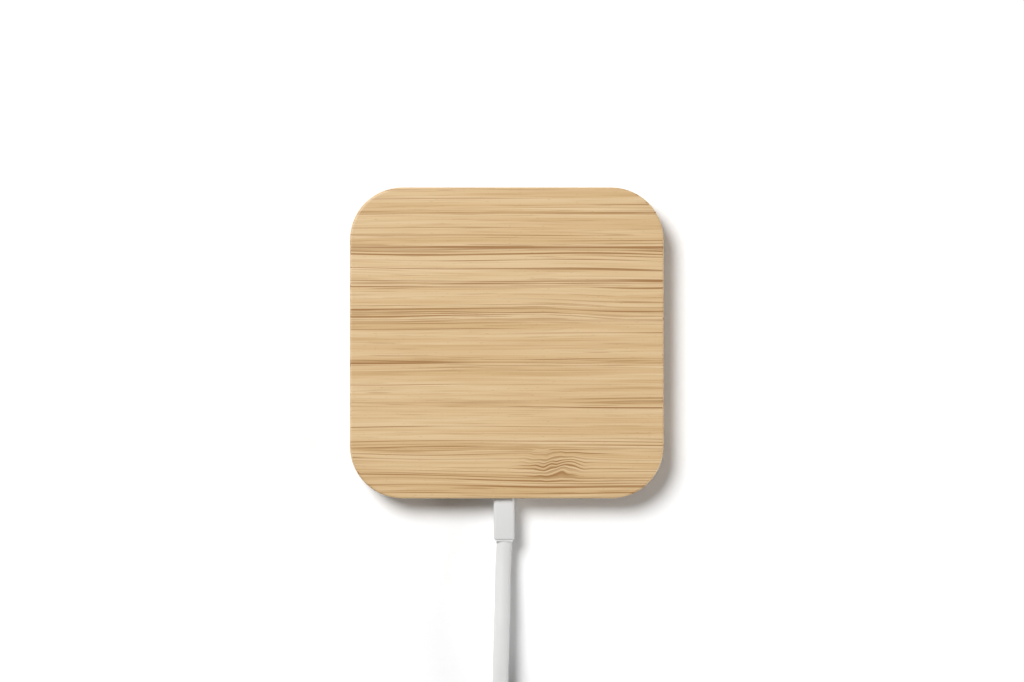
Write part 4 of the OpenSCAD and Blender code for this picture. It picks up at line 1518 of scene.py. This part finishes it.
@dataclass
class Board:
    """The circuit board with its parts underneath, its wires, its solder and its light."""

    underside: float = 3.75
    top: float = 4.75
    cable_x: float = -0.8
    joint: float = 1.6
    wire_apart: float = 1.8
    lead_aside: float = 2.0
    metal_share: float = 0.18
    small: tuple[SmallParts, ...] = (
        SmallParts("resonant_capacitors", "capacitor_ceramic", (3.2, 2.5, 1.25), CAPACITOR,
                   tuple((-20, y) for y in (-6, -2, 2, 6))),
        SmallParts("input_capacitors", "capacitor_ceramic", (3.2, 1.6, 1.2), CAPACITOR,
                   tuple((x, -16) for x in (-6, 0, 6)), True),
        SmallParts("sense_resistor", "chip_epoxy", (3.2, 1.6, 0.6), CHIP_EPOXY, ((-3, -9),)),
        SmallParts("input_fuse", "chip_epoxy", (3.2, 1.6, 0.7), FUSE_BODY, ((-4, -22),)),
        SmallParts("chip_resistors", "chip_epoxy", (1.6, 0.8, 0.45), CHIP_EPOXY,
                   (*((12, y) for y in COLUMN), *((-4.0 + 3 * k, 17) for k in range(4))), True),
        SmallParts("chip_capacitors", "capacitor_ceramic", (1.6, 0.8, 0.8), CAPACITOR,
                   (*((15.5, y) for y in COLUMN), *((4, -4 - 2 * k) for k in range(4))),
                   (True,) * 5 + (False,) * 4),
    )
    wire_row: float = -29.75
    lead_row: float = -28.05
    finishes: dict[str, Finish] = field(default_factory=lambda: {
        "circuit_board": BOARD, "status_led": LED_LENS, "light_pipe": ACRYLIC,
        "wire_red": WIRE_RED, "wire_black": WIRE_BLACK, "wire_green": WIRE_GREEN, "wire_white": WIRE_WHITE,
        "cable_jacket_end": CORD_TPE,
    })

    def end_capped(self, size: Point, body: Finish) -> bpy.types.Object:
        """A small part with tinned ends, made hanging from the origin.

        Args:
            size: Its length, width and height in millimetres.
            body: What its middle is made of.

        Returns:
            The part.
        """
        length, width, height = size
        cap = length * self.metal_share
        # The body is a little smaller than its metal ends
        low = (-length / 2 + 0.05, -width / 2 + 0.03, -height + 0.03)
        core = block("core", low, (length / 2 - 0.05, width / 2 - 0.03, -0.02))
        with shaping(core):
            bpy.ops.mesh.select_all(action="SELECT")
            bpy.ops.mesh.bevel(offset=0.04 * MM, segments=1)
        dress(core, body.material())
        parts = [core]
        for low in (-length / 2, length / 2 - cap):
            end = block("end", (low, -width / 2, -height), (low + cap, width / 2, 0))
            with shaping(end):
                bpy.ops.mesh.select_all(action="SELECT")
                bpy.ops.mesh.bevel(offset=min(0.08, cap * 0.25) * MM, segments=2)
            dress(end, SOLDER.material())
            parts.append(end)
        part = joined("part", parts)
        smooth(part)
        return part

    def package(self, width: float, height: float, pins: int) -> bpy.types.Object:
        """A flat moulded chip with tinned pins on its four sides and a dimple at its first pin.

        Args:
            width: The length of each side in millimetres.
            height: Its height in millimetres.
            pins: How many pins each side has.

        Returns:
            The chip, made hanging from the origin.
        """
        half = width / 2
        body = block("body", (-half, -half, -height), (half, half, -0.02))
        with shaping(body):
            pick(body, Element.FACE, faces_to(2, -1))
            bpy.ops.transform.resize(value=(0.96, 0.96, 1))
            bpy.ops.mesh.bevel(offset=0.06 * MM, segments=2)
        x, y = 0.8 - half, half - 0.8
        cut(body, rod("dimple", (x, y, -height - 1), (x, y, -height + 0.08), 0.3, sides=20))
        dress(body, CHIP_EPOXY.material())
        pitch = width / (pins + 1)
        parts = [body]
        for side in range(4):
            for index in range(1, pins + 1):
                place = index * pitch - half
                if side % 2:
                    low, high = (place - pitch / 4, half - 0.3), (place + pitch / 4, half + 0.06)
                else:
                    low, high = (half - 0.3, place - pitch / 4), (half + 0.06, place + pitch / 4)
                if side > 1:
                    low, high = (-high[0], -high[1]), (-low[0], -low[1])
                pin = block("pin", (*low, -0.2), (*high, 0))
                dress(pin, SOLDER.material())
                parts.append(pin)
        chip = joined("chip", parts)
        smooth(chip)
        return chip

    def populate(self, node: str, slot: str, part: bpy.types.Object, places: tuple[tuple[float, float], ...],
                 turned: bool | tuple[bool, ...] = False) -> None:
        """Copies a part to its places under the board, as one piece.

        Args:
            node: The CAD node that the piece stands for.
            slot: The record's material slot.
            part: The part, which is removed.
            places: The parts' places in X and Y.
            turned: Whether they are turned a quarter, for all or one by one.
        """
        turns = turned if isinstance(turned, tuple) else (turned,) * len(places)
        copies = [copy_at(part, (x, y, self.underside), math.pi / 2 if turn else 0.0)
                  for (x, y), turn in zip(places, turns)]
        bpy.data.objects.remove(part)
        piece = joined(f"{node}_parts", copies)
        smooth(piece)
        place_in_frame(piece, slot, node)

    def solder(self) -> None:
        """Raises a concave fillet of solder at each wire's end."""
        bead = rod("bead", (0, 0, 0), (0, 0, 0.12), self.joint / 2, sides=24)
        with shaping(bead):
            # Each ring is narrower and steeper than the last, and the last ones close the tip
            for up, share in ((0.15, 0.86), (0.2, 0.86), (0.25, 0.9), (0.18, 0.8), (0.1, 0.5)):
                pick(bead, Element.FACE, faces_to(2, 1))
                extrude(2, up)
                bpy.ops.transform.resize(value=(share, share, 1))
        smooth(bead, 50)
        dress(bead, SOLDER.material())
        row = [(self.cable_x + x * self.wire_apart, self.wire_row) for x in (-1.5, -0.5, 0.5, 1.5)]
        leads = [(self.lead_row, y) for y in (-self.lead_aside, self.lead_aside)]
        joints = [copy_at(bead, (x, y, self.top)) for x, y in [*row, *leads]]
        bpy.data.objects.remove(bead)
        piece = joined("solder_fillets", joints)
        smooth(piece, 50)
        place_in_frame(piece, "solder", "solder_joints")

    def build(self, nodes: dict[str, bpy.types.Object]) -> None:
        """Puts every component in its place and dresses the CAD nodes.

        Args:
            nodes: The frame's CAD nodes by name.
        """
        chips = (("controller_chip", 5.0, 8, ((4, 8),)),
                 ("bridge_transistors", 3.3, 4, ((-11, -5), (-11, 5))))
        for node, width, pins, places in chips:
            self.populate(node, "chip_epoxy", self.package(width, 0.9, pins), places)
        for parts in self.small:
            part = self.end_capped(parts.size, parts.body)
            self.populate(parts.node, parts.slot, part, parts.places, parts.turned)
        self.solder()
        finish_nodes(nodes, self.finishes)


def main() -> None:
    """Builds the studio, the cord, and then the pad from the outside in."""
    logging.basicConfig(level=logging.INFO, format="%(name)s: %(message)s")
    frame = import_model()
    deselect()
    nodes = frame["nodes"]
    studio = Studio()
    studio.place_camera()
    cord_layout = Cord()
    cord = cord_layout.build()
    ties = TwistTies().build()
    relief = StrainRelief().build()
    plug = Plug().build(nodes)
    Case().dress(nodes)
    ChargingCoil().build(nodes)
    Board().build(nodes)
    studio.lay_floor()
    studio.light()


if __name__ == "__main__":
    main()
